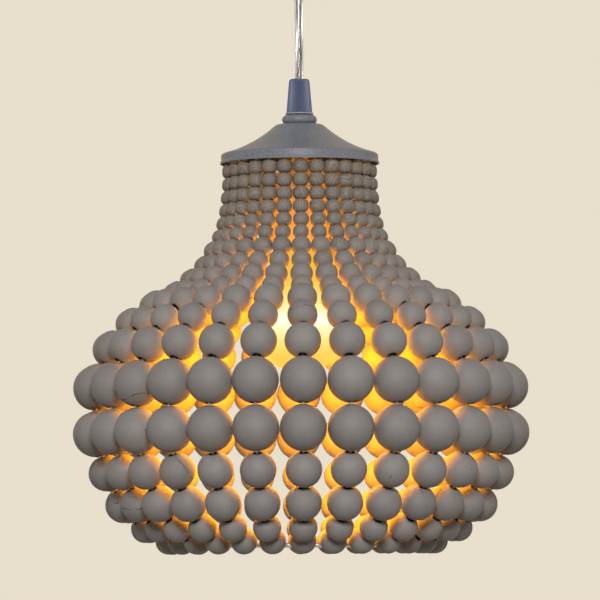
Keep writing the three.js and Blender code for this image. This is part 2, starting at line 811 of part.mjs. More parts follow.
// The diffuser's radius at a height: a half ball below its middle, and a longer curve up to the body.
function globeProfile(radius, steps) {
  const neckShare = bulbBodyLowRadius / globeRadius;
  const stretch = globeShoulderHeight / Math.sqrt(1 - neckShare ** 2);
  const points = [];
  for (let i = 0; i <= steps; i++) {
    const angle = -quarterTurn + i / steps * (quarterTurn + Math.acos(neckShare));
    const tall = angle < 0 ? radius : stretch * radius / globeRadius;
    points.push([i ? radius * Math.cos(angle) : 0, globeMiddleZ + tall * Math.sin(angle)]);
  }
  return points;
}

function bulbGlobe() {
  const outer = globeProfile(globeRadius, 6);
  const inner = globeProfile(globeRadius - globeWall, 4).reverse();
  return turned([...outer, ...inner], globeSides);
}

piece('bulb_cap', bulbCap(), brightCap(), bulbGroup);
piece('bulb_insulator', bulbInsulator(), darkPlastic(), bulbGroup);
piece('bulb_contact', bulbContact(), brightCap(), bulbGroup);
piece('bulb_body', bulbBody(), whitePlastic(), bulbGroup);
piece('bulb_globe', bulbGlobe(), litDiffuser(), bulbGroup);

export default lamp;
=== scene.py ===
# %% [markdown]
# # A pendant lamp with a shade of wooden balls
# The lamp hangs from a ceiling rose on a clear cord. Its shade is 28 steel wires, welded to a ring under
# the cap and to a hoop at the mouth, and each wire is threaded with 19 turned and painted balls. A lit
# bulb hangs inside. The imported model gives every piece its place, and this file gives the pieces their
# fine shapes and finishes. Lengths are in millimetres until a mesh is made, and +Z is up.

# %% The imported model
import math
import random

import bmesh
import bpy
from mathutils import Matrix, Quaternion, Vector, noise


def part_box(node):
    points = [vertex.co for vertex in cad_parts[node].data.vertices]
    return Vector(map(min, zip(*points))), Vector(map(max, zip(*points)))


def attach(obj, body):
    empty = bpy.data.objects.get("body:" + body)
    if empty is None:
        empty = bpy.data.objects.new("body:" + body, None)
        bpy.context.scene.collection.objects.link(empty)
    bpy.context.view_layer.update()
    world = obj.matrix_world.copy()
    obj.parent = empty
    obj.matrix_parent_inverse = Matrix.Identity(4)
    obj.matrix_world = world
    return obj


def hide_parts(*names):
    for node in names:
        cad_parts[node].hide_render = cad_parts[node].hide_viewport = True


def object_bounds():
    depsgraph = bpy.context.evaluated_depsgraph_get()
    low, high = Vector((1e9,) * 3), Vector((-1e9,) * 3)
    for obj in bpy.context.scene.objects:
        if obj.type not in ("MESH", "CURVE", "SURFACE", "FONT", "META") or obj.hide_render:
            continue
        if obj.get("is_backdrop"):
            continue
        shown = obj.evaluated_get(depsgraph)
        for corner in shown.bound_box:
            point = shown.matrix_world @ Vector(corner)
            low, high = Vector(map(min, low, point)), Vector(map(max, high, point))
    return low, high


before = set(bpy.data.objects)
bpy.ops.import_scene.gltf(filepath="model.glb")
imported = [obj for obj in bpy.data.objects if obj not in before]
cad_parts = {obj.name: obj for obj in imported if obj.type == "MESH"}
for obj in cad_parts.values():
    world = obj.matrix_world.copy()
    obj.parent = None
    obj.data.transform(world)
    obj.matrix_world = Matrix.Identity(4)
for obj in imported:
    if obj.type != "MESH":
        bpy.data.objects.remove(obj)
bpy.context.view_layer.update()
MM = 0.001
TURN = 2 * math.pi


def in_scene(name, data):
    """A new object with its data, linked to the scene."""
    made = bpy.data.objects.new(name, data)
    bpy.context.scene.collection.objects.link(made)
    return made


# %% [markdown]
# ## The camera
# The photograph was taken from about three metres with a long lens, which flattens the shade. The camera
# stands as low as the lowest balls and looks up a little, and it is placed from the lamp's own axis.

# %% The camera
CAMERA_DISTANCE = 3000
CAMERA_X = 15
CAMERA_Z = -421.5
AIM_X = -0.3
AIM_Z = -252.8
LENS = 270
ROLL = math.radians(-0.32)

camera_data = bpy.data.cameras.new("camera")
camera_data.lens = LENS
camera = in_scene("camera", camera_data)
camera.location = Vector((CAMERA_X, -CAMERA_DISTANCE, CAMERA_Z)) * MM
line_of_sight = Vector((AIM_X, 0, AIM_Z)) * MM - camera.location
level = line_of_sight.to_track_quat("-Z", "Y")
camera.rotation_euler = (level @ Quaternion((0, 0, 1), ROLL)).to_euler()
bpy.context.scene.camera = camera
print("the camera looks up", round(math.degrees(line_of_sight.angle(Vector((0, 1, 0)))), 1), "degrees")

# %% [markdown]
# ## Adding nodes and colours
# A finish is a small tree of shader nodes. A few functions add a node, set it and link it, so that each
# finish below reads as a list of what it is made of. Colours are written as they look on a screen, and
# one function turns them into the linear values that a renderer adds up. Many finishes are alike: two
# close tones in soft clouds, with a sheen that follows them, and one function makes them all.

# %% Nodes and colours
def linear(hex_colour):
    """A screen colour such as "8a8583" as linear red, green, blue and a full alpha."""
    shares = [int(hex_colour[i:i + 2], 16) / 255 for i in (0, 2, 4)]
    return [s / 12.92 if s <= 0.04045 else ((s + 0.055) / 1.055) ** 2.4 for s in shares] + [1.0]


def add(tree, kind, sockets=None, **settings):
    """A shader node with its settings. A socket takes a value, a screen colour, or another node's output."""
    made = tree.nodes.new("ShaderNode" + kind)
    for name, value in settings.items():
        setattr(made, name, value)
    for socket, value in (sockets or {}).items():
        if isinstance(value, bpy.types.NodeSocket):
            tree.links.new(value, made.inputs[socket])
        else:
            made.inputs[socket].default_value = linear(value) if isinstance(value, str) else value
    return made


# %% Sums, noise and relief
def maths(tree, operation, *values, **settings):
    """The result of one operation on values or outputs."""
    return add(tree, "Math", dict(enumerate(values)), operation=operation, **settings).outputs[0]


def spread(tree, value, wanted=(0, 1), given=(0, 1), **settings):
    """A value carried over from a given range to a wanted one, and held within it."""
    ranges = {"From Min": given[0], "From Max": given[1], "To Min": wanted[0], "To Max": wanted[1]}
    return add(tree, "MapRange", {"Value": value, **ranges}, **settings).outputs[0]


def noise_at(tree, place, scale, detail=2.0, **more):
    """Soft noise at a place. Its patches are about as long as the place's unit, divided by the scale."""
    sockets = {"Vector": place, "Scale": scale, "Detail": detail, **more}
    return add(tree, "TexNoise", sockets).outputs[0]


def blend(tree, factor, low, high):
    """A colour between two, by a factor from another node."""
    return add(tree, "Mix", {0: factor, 6: low, 7: high}, data_type="RGBA").outputs[2]


def relief(tree, height, strength, depth_mm):
    """A fine relief, which bends only the light, by a height and a depth in millimetres."""
    sockets = {"Height": height, "Strength": strength, "Distance": depth_mm * MM}
    return add(tree, "Bump", sockets).outputs[0]


# %% Finishes
def empty_tree(owner):
    """The node tree of a material, light or world, with nothing in it yet."""
    owner.use_nodes = True
    owner.node_tree.nodes.clear()
    return owner.node_tree


def new_finish(name):
    """A named material and its tree."""
    material = bpy.data.materials.new(name)
    return material, empty_tree(material)


def own_place(tree):
    """Where a point lies in its own piece, in metres."""
    return add(tree, "TexCoord").outputs["Object"]


def finished(material, surface):
    """The material with the sockets of its surface set."""
    shader = add(material.node_tree, "BsdfPrincipled", surface)
    add(material.node_tree, "OutputMaterial", {"Surface": shader.outputs[0]})
    return material


def clouded(name, dark, pale, dull, per_mm, detail, metallic=0.0, peel_mm=None):
    """Two tones in clouds, with a roughness for each, and an orange-peel where its grain has a size."""
    material, tree = new_finish(name)
    point = own_place(tree)
    clouds = noise_at(tree, point, per_mm / MM, detail)
    surface = {"Base Color": blend(tree, clouds, dark, pale), "Metallic": metallic,
               "Roughness": spread(tree, clouds, dull)}
    if peel_mm:
        surface["Normal"] = relief(tree, noise_at(tree, point, 1 / peel_mm / MM, 1.0), 0.12, 0.06)
    return finished(material, surface)


# %% [markdown]
# ## Shapes
# Nearly everything here is turned, drawn or twisted, so three builders make nearly everything. The first
# rounds the corners of an outline, because no real edge is sharp. The second turns an outline round the
# axis. The third lays rings of points along a line, for wires, threads and ribs.

# %% Outlines
SIDE_SHARE = 0.45  # of a straight side, which the rounding of its corner takes at most
EDGE = 0.3  # the rounding of a usual edge
FINE_EDGE = 0.2
GAP = 0.3  # between pieces that touch
SQUARE = ((-1, -1), (1, -1), (1, 1), (-1, 1))


def polar(radius, angle, z=0):
    """The point at a radius and an angle round the axis."""
    return radius * math.cos(angle), radius * math.sin(angle), z


def arc(start, end, sag, steps):
    """Points after start, up to and with end, on an arc that stands off to the right of the way there."""
    along = Vector(end) - Vector(start)
    half = 2 * math.atan2(2 * sag, along.length)
    points = []
    for i in range(1, steps + 1):
        angle = (2 * i / steps - 1) * half
        on = 0.5 + math.sin(angle) / math.sin(half) / 2
        off = (math.cos(angle) - math.cos(half)) / math.sin(half) / 2
        points.append((start[0] + along.x * on + along.y * off, start[1] + along.y * on - along.x * off))
    return points


def eased(corners, steps=4):
    """An outline of (radius, z) points, with each corner that is given a third number rounded by it."""
    points = []
    for i, corner in enumerate(corners):
        here = Vector(corner[:2])
        if len(corner) < 3:
            points.append(tuple(here))
            continue
        to_last = Vector(corners[i - 1][:2]) - here
        to_next = Vector(corners[(i + 1) % len(corners)][:2]) - here
        reach = min(corner[2], to_last.length * SIDE_SHARE, to_next.length * SIDE_SHARE)
        start = here + to_last.normalized() * reach
        end = here + to_next.normalized() * reach
        for k in range(steps + 1):
            share = k / steps
            bend = here * 2 * share * (1 - share)
            points.append(tuple(start * (1 - share) ** 2 + bend + end * share ** 2))
    return points


# %% Bodies from outlines, rings and paths
def skin(rows, closed):
    """Faces between rows of point numbers. A row may repeat one number, where it has shrunk to a point."""
    faces = []
    for low, high in zip(rows, rows[1:] + rows[:1] if closed else rows[1:]):
        for i in range(len(low)):
            j = (i + 1) % len(low)
            faces.append(tuple(dict.fromkeys((low[i], low[j], high[j], high[i]))))
    return faces


def turned(outline, sides):
    """Points and faces of an outline turned round the axis. It closes on itself, or ends on the axis."""
    points = []
    rows = []
    for radius, z in outline:
        if radius == 0:
            rows.append([len(points)] * sides)
            points.append((0, 0, z))
        else:
            rows.append(range(len(points), len(points) + sides))
            points += [polar(radius, i / sides * TURN, z) for i in range(sides)]
    return points, skin(rows, closed=outline[0][0] > 0)


def laid_rings(rings, closed=False):
    """Points and faces of a body through rings with equal counts, with flat ends or closed on itself."""
    count = len(rings[0])
    rows = [range(k * count, (k + 1) * count) for k in range(len(rings))]
    faces = skin(rows, closed)
    if not closed:
        faces += [tuple(reversed(rows[0])), tuple(rows[-1])]
    return [point for ring in rings for point in ring], faces


def level_ring(radius_at, z, sides):
    """A level ring, whose radius may follow the angle."""
    ring = []
    for i in range(sides):
        angle = i / sides * TURN
        radius = radius_at(angle) if callable(radius_at) else radius_at
        ring.append(polar(radius, angle, z))
    return ring


def drawn(path, radius, sides):
    """A round bar along a path."""
    path = [Vector(point) for point in path]
    way = (path[1] - path[0]).normalized()
    across = way.orthogonal().normalized()
    rings = []
    for i, here in enumerate(path):
        new_way = (path[min(i + 1, len(path) - 1)] - path[max(i - 1, 0)]).normalized()
        across = way.rotation_difference(new_way) @ across
        way = new_way
        beside = way.cross(across)
        rings.append([
            tuple(here + (across * math.cos(a) + beside * math.sin(a)) * radius)
            for a in (k / sides * TURN for k in range(sides))
        ])
    return laid_rings(rings)


def together(*shapes):
    """Several shapes as one list of points and one of faces."""
    points = []
    faces = []
    for more_points, more_faces in shapes:
        faces += [tuple(i + len(points) for i in face) for face in more_faces]
        points += more_points
    return points, faces


def placed(shape, matrix):
    """A shape moved by a matrix."""
    return [tuple(matrix @ Vector(point)) for point in shape[0]], shape[1]


# %% [markdown]
# ## From a shape to a piece of the lamp
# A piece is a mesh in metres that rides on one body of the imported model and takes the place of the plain
# node that it stands for. Faces that meet at more than 35 degrees keep their edge, and the rest are
# smooth. Most pieces are lathed: an outline with eased corners is turned round the axis.

# %% Pieces
SHARP_ANGLE = math.radians(35)


def smooth(mesh):
    """Smooth shading, but for the real edges."""
    mesh.shade_smooth()
    mesh.set_sharp_from_angle(angle=SHARP_ANGLE)


def tidy_mesh(name, shape):
    """A mesh in metres with its faces pointing out."""
    mesh = bpy.data.meshes.new(name)
    mesh.from_pydata([[x * MM for x in point] for point in shape[0]], [], shape[1])
    draft = bmesh.new()
    draft.from_mesh(mesh)
    bmesh.ops.recalc_face_normals(draft, faces=draft.faces)
    draft.to_mesh(mesh)
    draft.free()
    smooth(mesh)
    return mesh


def piece(name, shape, finish, body, slot, *nodes):
    """A piece of the lamp in a finish, riding on a body, in place of the nodes that it stands for."""
    made = in_scene(name, tidy_mesh(name, shape))
    made.data.materials.append(finish)
    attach(made, body)
    if nodes:
        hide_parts(*nodes)
    return made


def lathed(name, corners, sides, finish, body, slot, *nodes, steps=4):
    """A piece whose outline has its corners eased and is turned round the axis."""
    return piece(name, turned(eased(corners, steps), sides), finish, body, slot, *nodes)


def plug(*corners):
    """The outline of a body without a hole: from the axis out to its corners and back."""
    return [(0, corners[0][1]), *corners, (0, corners[-1][1])]


def band(inner, outer, low_z, top_z, inner_edge=EDGE):
    """The outline of a flat ring."""
    outside = [(outer, low_z, EDGE), (outer, top_z, EDGE)]
    return [(inner, low_z, inner_edge), *outside, (inner, top_z, inner_edge)]


def carve(made, shape):
    """Cuts a shape out of a piece, and keeps the result as its mesh."""
    tool = in_scene("cutter", tidy_mesh("cutter", shape))
    cut = made.modifiers.new("cut", "BOOLEAN")
    cut.object = tool
    cut.solver = "EXACT"
    graph = bpy.context.evaluated_depsgraph_get()
    result = bpy.data.meshes.new_from_object(made.evaluated_get(graph))
    made.modifiers.clear()
    made.data = result
    bpy.data.objects.remove(tool)
    smooth(result)


def reach(node):
    """How far a node lies from the axis along X, its lowest and its highest place."""
    low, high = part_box(node)
    return high.x / MM, low.z / MM, high.z / MM


# %% [markdown]
# ## Clear cord
# The cord is a soft clear vinyl sheath, moulded round two cores of bare tinned strands, which shine. A thin
# dark strand beside them is painted shadow: it stands for the shade in the gap between the cores. Clear
# vinyl bends light as glass does, so the sheath is a solid round bar with the cores inside it, and their
# images fill it from edge to edge. It casts no shadow, because the lamps' light goes through it to the
# strands, which are drawn coarser than real ones. The cord is made first.

# %% Finishes of the cord
VINYL_IOR = 1.53
STRAND_TWIST_MM = 0.9


def clear_vinyl():
    """Soft clear vinyl: a polished skin with a faint haze, and almost no tint."""
    material, tree = new_finish("clear soft vinyl")
    haze = noise_at(tree, own_place(tree), 0.25 / MM)
    return finished(material, {
        "Base Color": blend(tree, haze, "d2d4d7", "e2e4e6"),
        "Roughness": 0.06,
        "IOR": VINYL_IOR,
        "Transmission Weight": 1.0,
        "Normal": relief(tree, haze, 0.05, 0.1),
    })


vinyl_finish = clear_vinyl()
tinned_finish = clouded("tinned copper strands", "d4d5d6", "fafaf8", (0.2, 0.4), 1 / STRAND_TWIST_MM, 2.0,
                        metallic=1.0)
# A dark strand painted where the gap between the bare cores lies in shadow.
gap_shadow_finish = clouded("dark strand for the painted shadow between cores", "120f0d", "241d19", (0.4, 0.4), 0.4, 2.0)

# %% The cord and its cores
CORD_POINTS = 16
BARE_CORE_RADIUS = 1.15
BARE_CORES = [(1.3, math.radians(-165)), (1.6, math.radians(5))]  # off the cord's middle, and from +X
# the dark strand that stands for the painted shadow between the cores
GAP_SHADOW_RADIUS = 0.6
GAP_SHADOW_PLACE = (1.9, math.radians(-75))
STRAND_RADIUS = 0.42
STRANDS = 6
STRAND_PITCH = 13
CORES_PITCH = 2500
CORD_STEP = 1.2
CORE_INSET = 0.2  # how far the cores end inside the sheath


def core_middle(core, z):
    """Where a core's middle lies at a height."""
    off, angle = core
    return Vector(polar(off, angle - (cord_top_z - z) / CORES_PITCH * TURN, z))


def core_paths(low_z, top_z):
    """The paths of all strands of the two bare cores, and of the middle of the dark strand that is painted
    shadow.
    """
    steps = max(2, round((top_z - low_z) / CORD_STEP))
    heights = [top_z - i / steps * (top_z - low_z) for i in range(steps + 1)]
    off = BARE_CORE_RADIUS - STRAND_RADIUS
    strands = [
        [core_middle(core, z) + Vector(polar(off, strand / STRANDS * TURN + z / STRAND_PITCH * TURN))
         for z in heights]
        for core in BARE_CORES for strand in range(STRANDS)
    ]
    return strands, [core_middle(GAP_SHADOW_PLACE, z) for z in heights]


# %% The stretches of cord
def clear_cord(name, node, body):
    """A stretch of cord in place of a node: sheath, bare cores, and a dark strand painted as shadow."""
    _, low_z, top_z = reach(node)
    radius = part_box(node)[1].y / MM
    path = [(0, 0, top_z - i / (CORD_POINTS - 1) * (top_z - low_z)) for i in range(CORD_POINTS)]
    sheath = piece(name, drawn(path, radius, 32), vinyl_finish, body, "clear_vinyl", node)
    sheath.visible_shadow = False
    strands, dark = core_paths(low_z + CORE_INSET, top_z - CORE_INSET)
    bare = piece(name + "_cores", together(*(drawn(p, STRAND_RADIUS, 6) for p in strands)),
                 tinned_finish, body, "plain_steel")
    # the dark strand: painted shadow in the gap between the cores
    gap_shadow_strand = piece(name + "_shadow_strand", drawn(dark, GAP_SHADOW_RADIUS, 12), gap_shadow_finish, body,
                      "dark_plastic")
    return sheath, [bare, gap_shadow_strand], path


_, cord_low_z, cord_top_z = reach("cord")
sheath, cores, route = clear_cord("clear_cord", "cord", "cord")
clear_cord("rose_cord", "rose_cord_tail", "rose")
clear_cord("lamp_cord", "lamp_cord_tail", "grip")

# %% [markdown]
# ## Where a wire runs
# Seen from the side, a wire is a chain of arcs: a neck, a flare, a short straight slope, a shoulder, a
# side and a hem. Each begins in the direction in which the last one ended, so a few radii and angles give
# the whole outline of the shade, and the balls follow by their sizes alone.

# %% The wire's line
NECK_RADIUS = 46.6
TOP_ROW_DROP = 4.9
SLOPE_LENGTH = 15.4
NECK_BEND = (159.5, math.radians(10.9))
FLARE_BEND = (79.3, math.radians(48.1))
SHOULDER_BEND = (-79.3, NECK_BEND[1] + FLARE_BEND[1])
SIDE_BEND = (-114, math.radians(35.4))
HEM_RADIUS = -60.3
STRINGS = 28
FIRST_STRING = math.radians(0.93)  # from the front, towards +X

cap_radius, rim_low_z, cap_top_z = reach("top_cap")
bends = (NECK_BEND, FLARE_BEND, SHOULDER_BEND, SIDE_BEND)
stretches = [(abs(radius) * angle, 1 / radius) for radius, angle in bends]
stretches.insert(2, (SLOPE_LENGTH, 0))
stretches.append((math.inf, 1 / HEM_RADIUS))


def string_turn(index):
    """The turn that brings a string from +X to its place round the axis."""
    return Matrix.Rotation(FIRST_STRING - TURN / 4 + index / STRINGS * TURN, 4, "Z")


def along_wire(distance):
    """Radius, height and lean outwards of the wire, at a length from the top row's middle."""
    radius, z, lean = NECK_RADIUS, rim_low_z - TOP_ROW_DROP, 0.0
    if distance < 0:
        return radius, z - distance, lean
    left = distance
    for length, curl in stretches:
        run = min(left, length)
        turn = curl * run
        if curl:
            radius += (math.cos(lean) - math.cos(lean + turn)) / curl
            z -= (math.sin(lean + turn) - math.sin(lean)) / curl
        else:
            radius += run * math.sin(lean)
            z -= run * math.cos(lean)
        lean += turn
        left -= run
        if left <= 0:
            break
    return radius, z, lean


# %% [markdown]
# ## Turned balls
# The balls come in eight sizes, from 10 mm at the neck to 30 mm at the belly, all drilled 5 mm. Each is an
# outline turned round its own hole: the outside, a broken edge at each mouth of the hole, and the bore.
# The smallest are squarer, like barrels, and a little wider than high, as far as their neighbours leave
# room, so that only diamond-shaped gaps stay open. The bores are wider than the 2 mm wires, so no ball
# sits quite straight: each is tilted, spun and shifted a little. Every vertex carries where it lies in its
# own ball, for the wood's grain, and how bare that ball is, because the neck's balls took less paint.

# %% Balls
HOLE_RADIUS = 2.5
HOLE_EDGE = 0.35
# how far the painted shade at each hole's mouth reaches
MOUTH_SHADE_WIDTH = 0.8
BALL_ROWS = [(10.1, 6), (12.7, 2), (14.5, 2), (19.4, 2), (23.5, 1),
             (30.2, 2), (23.5, 2), (18.5, 1), (17.2, 1)]  # diameter, and rows of it, from the top
TIGHT_ROWS = 11  # rows from the top that are strung close
TIGHT_SLACK = 0.2
SLACK = 1
BARE_ROWS = 10  # rows from the top whose paint is thin
TILT = math.radians(3.5)
SHIFT = 0.15
LUMPS = 0.012  # how far a ball is off its round shape, as a share of it
BARE_LUMPS = 0.02  # how much more at the top row
LUMP_CROWD = 2.2  # about as many lumps to a ball's width
NECK_SWELL = 0.055  # by what share the neck's balls are turned wider, as far as their neighbours let them
PITH_REACH = 9  # how far from a ball's middle the middle of its growth rings may lie
SEED_REACH = 400
chance = random.Random(28)

ball_places = []
for diameter, rows in BALL_ROWS:
    for _ in range(rows):
        half = math.sqrt(diameter ** 2 - (2 * HOLE_RADIUS) ** 2) / 2
        slack = TIGHT_SLACK if len(ball_places) < TIGHT_ROWS else SLACK
        middle = ball_places[-1][2] + ball_places[-1][1] + slack + half if ball_places else 0
        ball_places.append((diameter, half, middle))
print("balls on a string:", len(ball_places), "from the first to the last:", round(middle), "mm")


# %% The outline of a ball
def ball_outline(diameter, half, power):
    """Half the section of a drilled ball: outside, edges and bore. A power over 2 is squarer than round."""
    radius = diameter / 2
    mouth = (HOLE_RADIUS + HOLE_EDGE) / radius
    tall = half / (1 - mouth ** power) ** (1 / power)
    edge_angle = math.acos(mouth ** (power / 2))
    steps = 12 + 2 * round(diameter / 5)
    outside = []
    for i in range(steps + 1):
        angle = (2 * i / steps - 1) * edge_angle
        out = radius * math.cos(angle) ** (2 / power)
        up = math.copysign(tall * abs(math.sin(angle)) ** (2 / power), angle)
        outside.append((out, up))
    bore_end = outside[-1][1] - HOLE_EDGE
    return outside + [(HOLE_RADIUS, bore_end), (HOLE_RADIUS, -bore_end)]


# %% A string of balls
def bead_string(index):
    """Balls of one wire: points, faces, and what each point knows of its ball."""
    shapes = []
    places = []
    facts = []
    for row, (diameter, half, middle) in enumerate(ball_places):
        radius, z, lean = along_wire(middle)
        bare = max(0.0, 1 - row / BARE_ROWS)
        tone = chance.random()
        pith = [chance.uniform(-PITH_REACH, PITH_REACH) for _ in range(2)]
        seed = Vector((*pith, chance.uniform(-SEED_REACH, SEED_REACH)))
        grain = Quaternion([chance.gauss(0, 1) for _ in range(4)]).normalized()
        shift = Vector([chance.uniform(-SHIFT, SHIFT) for _ in range(3)])
        tip = Quaternion((chance.uniform(-1, 1), chance.uniform(-1, 1), 0), chance.uniform(0, TILT))
        spin = Matrix.Rotation(chance.uniform(0, TURN), 4, "Z")
        local = turned(ball_outline(diameter, half, 2 + bare ** 2), 24 + 4 * round((diameter - 10) / 5))
        lumps = LUMPS + BARE_LUMPS * bare
        widen = min(1 + NECK_SWELL * bare ** 0.5, 2 * radius * math.sin(math.pi / STRINGS) / diameter)
        bent = []
        for point in local[0]:
            here = Vector(point)
            swell = noise.noise(here * (LUMP_CROWD / diameter) + seed)
            off = math.hypot(here.x, here.y)
            edge = min(1.0, (off - HOLE_RADIUS) / (diameter / 4))
            wide = 1 + (widen - 1) * max(0.0, edge)
            bent.append(tuple(Vector((here.x * wide, here.y * wide, here.z)) * (1 + lumps * swell * edge)))
            places.append(grain @ here + seed)
            # Each vertex keeps how near it lies to the hole's mouth, for the painted shade there, then the
            # ball's tone and its bareness.
            facts.append((min(1.0, (off - HOLE_RADIUS) / MOUTH_SHADE_WIDTH), tone, bare))
        stand = string_turn(index) @ Matrix.Translation((radius, 0, z))
        upright = Matrix.Rotation(-lean, 4, "Y")
        matrix = stand @ Matrix.Translation(shift) @ upright @ tip.to_matrix().to_4x4() @ spin
        shapes.append(placed((bent, local[1]), matrix))
    return together(*shapes), places, facts


# %% [markdown]
# ## Finish of the balls
# The balls are a light hardwood, brushed with a thin warm grey wash that dries matte. It gathers in soft
# clouds, lets growth rings and fine streaks through, and leaves old nicks dark. The mouth of each hole has
# a dark ring of painted shade, where the bore opens. A few balls have a check, the hairline split that
# opens along the grain as wood dries. The pattern reads the place that each vertex carries, in
# millimetres. Streaks and splits finer than half a millimetre would not show, so they are drawn coarser
# than real ones.

# %% Washed wood
STREAK_MM = 0.8
CLOUD_MM = 7
RING_MM = 1.6
NICK_MM = 9
CHECK_MM = 0.55
CHECKED_SHARE = 0.08
SPLIT_WANDER = 3.0  # how far a split's sheet strays, in millimetres
SPLIT_ASIDE = 1.5  # half of it, so that the sheet strays to both sides
WAVE_LENGTH = 0.314  # of the wave texture at a scale of one


def washed_wood():
    """Turned hardwood under a thin grey wash."""
    material, tree = new_finish("grey-washed turned hardwood")
    place = add(tree, "Attribute", attribute_name="ball_place").outputs["Vector"]
    facts = add(tree, "Attribute", attribute_name="ball_facts").outputs["Vector"]
    edge, tone, bare = add(tree, "SeparateXYZ", {"Vector": facts}).outputs
    stretched = add(tree, "Mapping", {"Vector": place, "Scale": (1, 1, 0.12)}).outputs[0]
    streaks = noise_at(tree, stretched, 1 / STREAK_MM, 3.0, Roughness=0.6)
    clouds = noise_at(tree, place, 1 / CLOUD_MM, 4.0, Roughness=0.6)
    rings = add(tree, "TexWave", {
        "Vector": place, "Scale": WAVE_LENGTH / RING_MM, "Distortion": 4.0, "Detail": 2.0},
        wave_type="RINGS", rings_direction="Z").outputs[0]
    nicks = noise_at(tree, place, 2.2 / NICK_MM, 3.0, Distortion=1.2)
    nick_share = spread(tree, nicks, given=(0.735, 0.76))

    wander = noise_at(tree, place, 0.15, 0.0)
    aside = add(tree, "SeparateXYZ", {"Vector": place}).outputs["Y"]
    off_sheet = maths(tree, "MULTIPLY_ADD", wander, SPLIT_WANDER, aside)
    off_sheet = maths(tree, "ABSOLUTE", maths(tree, "SUBTRACT", off_sheet, SPLIT_ASIDE))
    split = spread(tree, off_sheet, (1, 0), given=(0, CHECK_MM))
    open_share = spread(tree, clouds, given=(0.44, 0.5))
    checked = maths(tree, "LESS_THAN", tone, CHECKED_SHARE)
    check = maths(tree, "MULTIPLY", maths(tree, "MULTIPLY", split, open_share), checked)
    flaws = maths(tree, "MAXIMUM", nick_share, check)

    thin_wash = blend(tree, clouds, "7c7062", "9b8f82")
    full_wash = blend(tree, clouds, "807c7b", "968f8a")
    washed = blend(tree, bare, full_wash, thin_wash)
    streak_share = spread(tree, streaks, (0, 0.35), given=(0.45, 0.75))
    bare_streaks = maths(tree, "MULTIPLY", streak_share, bare)
    faint_streaks = maths(tree, "MULTIPLY_ADD", streak_share, 0.4, bare_streaks)
    streaked = blend(tree, faint_streaks, washed, "4d4238")
    ringed = maths(tree, "MULTIPLY", rings, bare)
    marked = blend(tree, maths(tree, "MULTIPLY", ringed, 0.75), streaked, "62564a")
    shade = spread(tree, tone, (0.9, 1.06))
    shaded = add(tree, "VectorMath", {0: marked, 3: shade}, operation="SCALE").outputs[0]
    nicked = blend(tree, flaws, shaded, "2b2420")

    depth = maths(tree, "MULTIPLY_ADD", flaws, -1.5, streaks)
    height = maths(tree, "MULTIPLY_ADD", ringed, 0.5, depth)
    return finished(material, {
        # Painted shade: a dark ring at the mouth of each hole, where the bore opens.
        "Base Color": blend(tree, edge, "3f362f", nicked),
        "Roughness": spread(tree, clouds, (0.62, 0.8)),
        "Specular IOR Level": 0.9,
        "Normal": relief(tree, height, 0.35, 0.15),
    })


wood_finish = washed_wood()

# %% Stringing the shade
for index in range(STRINGS):
    number = f"{index + 1:02d}"
    shape, places, facts = bead_string(index)
    balls = piece("balls_" + number, shape, wood_finish, "lamp", "painted_wood", "bead_string_" + number)
    for name, values in (("ball_place", places), ("ball_facts", facts)):
        layer = balls.data.attributes.new(name, "FLOAT_VECTOR", "POINT")
        layer.data.foreach_set("vector", [x for value in values for x in value])
print("balls:", STRINGS * len(ball_places), "faces on one string:", len(shape[1]))

# %% [markdown]
# ## Wires, ring and hoop
# The frame is bright zinc-plated steel: 28 wires of 2 mm, welded by their top ends to a flat ring inside
# the cap and by their low ends to a 3 mm hoop, with the small beads that spot welding leaves. The wires
# show only as short glints between the balls.

# %% Bright steel
BRUSH_MM = 0.25


def bright_steel():
    """Zinc-plated steel: a cool bright metal with fine drawing marks and faint clouds."""
    material, tree = new_finish("zinc-plated steel")
    point = own_place(tree)
    marks = noise_at(tree, point, 1 / BRUSH_MM / MM)
    clouds = noise_at(tree, point, 0.12 / MM, 3.0)
    return finished(material, {
        "Base Color": blend(tree, clouds, "8f9499", "c3c6c8"),
        "Metallic": 1.0,
        "Roughness": spread(tree, marks, (0.22, 0.42)),
        "Normal": relief(tree, marks, 0.15, 0.02),
    })


steel_finish = bright_steel()

# %% The frame of the shade
WIRE_RADIUS = 1
HOOP_RADIUS = 1.5
WIRE_STEP = 4
WELD_RADIUS = 1.5

ring_outer, ring_low_z, ring_top_z = reach("top_ring")
_, last_half, last_middle = ball_places[-1]
wire_top = -(ring_low_z - (rim_low_z - TOP_ROW_DROP))
wire_end = last_middle + last_half + SLACK + HOOP_RADIUS


def ball_bead(place, radius):
    """A small round bead of weld."""
    outline = [polar(radius, (i / 6 - 0.5) * math.pi)[:2] for i in range(7)]
    outline[0] = (0, -radius)
    outline[-1] = (0, radius)
    return placed(turned(outline, 12), Matrix.Translation(place))


wire_shapes = []
wire_steps = round((wire_end - wire_top) / WIRE_STEP)
for index in range(STRINGS):
    line = []
    for i in range(wire_steps + 1):
        radius, z, _ = along_wire(wire_top + i / wire_steps * (wire_end - wire_top))
        line.append(string_turn(index) @ Vector((radius, 0, z)))
    wire_shapes.append(drawn(line, WIRE_RADIUS, 8))
    wire_shapes.append(ball_bead(line[0], WELD_RADIUS))
    wire_shapes.append(ball_bead(line[-1], WELD_RADIUS))
piece("shade_wires", together(*wire_shapes), steel_finish, "lamp", "plain_steel")

hoop_radius, hoop_z, _ = along_wire(wire_end)
hoop_section = (polar(HOOP_RADIUS, i / 16 * TURN) for i in range(16))
hoop_outline = [(hoop_radius + x, hoop_z + y) for x, y, _ in hoop_section]
piece("hem_hoop", turned(hoop_outline, 112), steel_finish, "lamp", "plain_steel", "bottom_hoop")

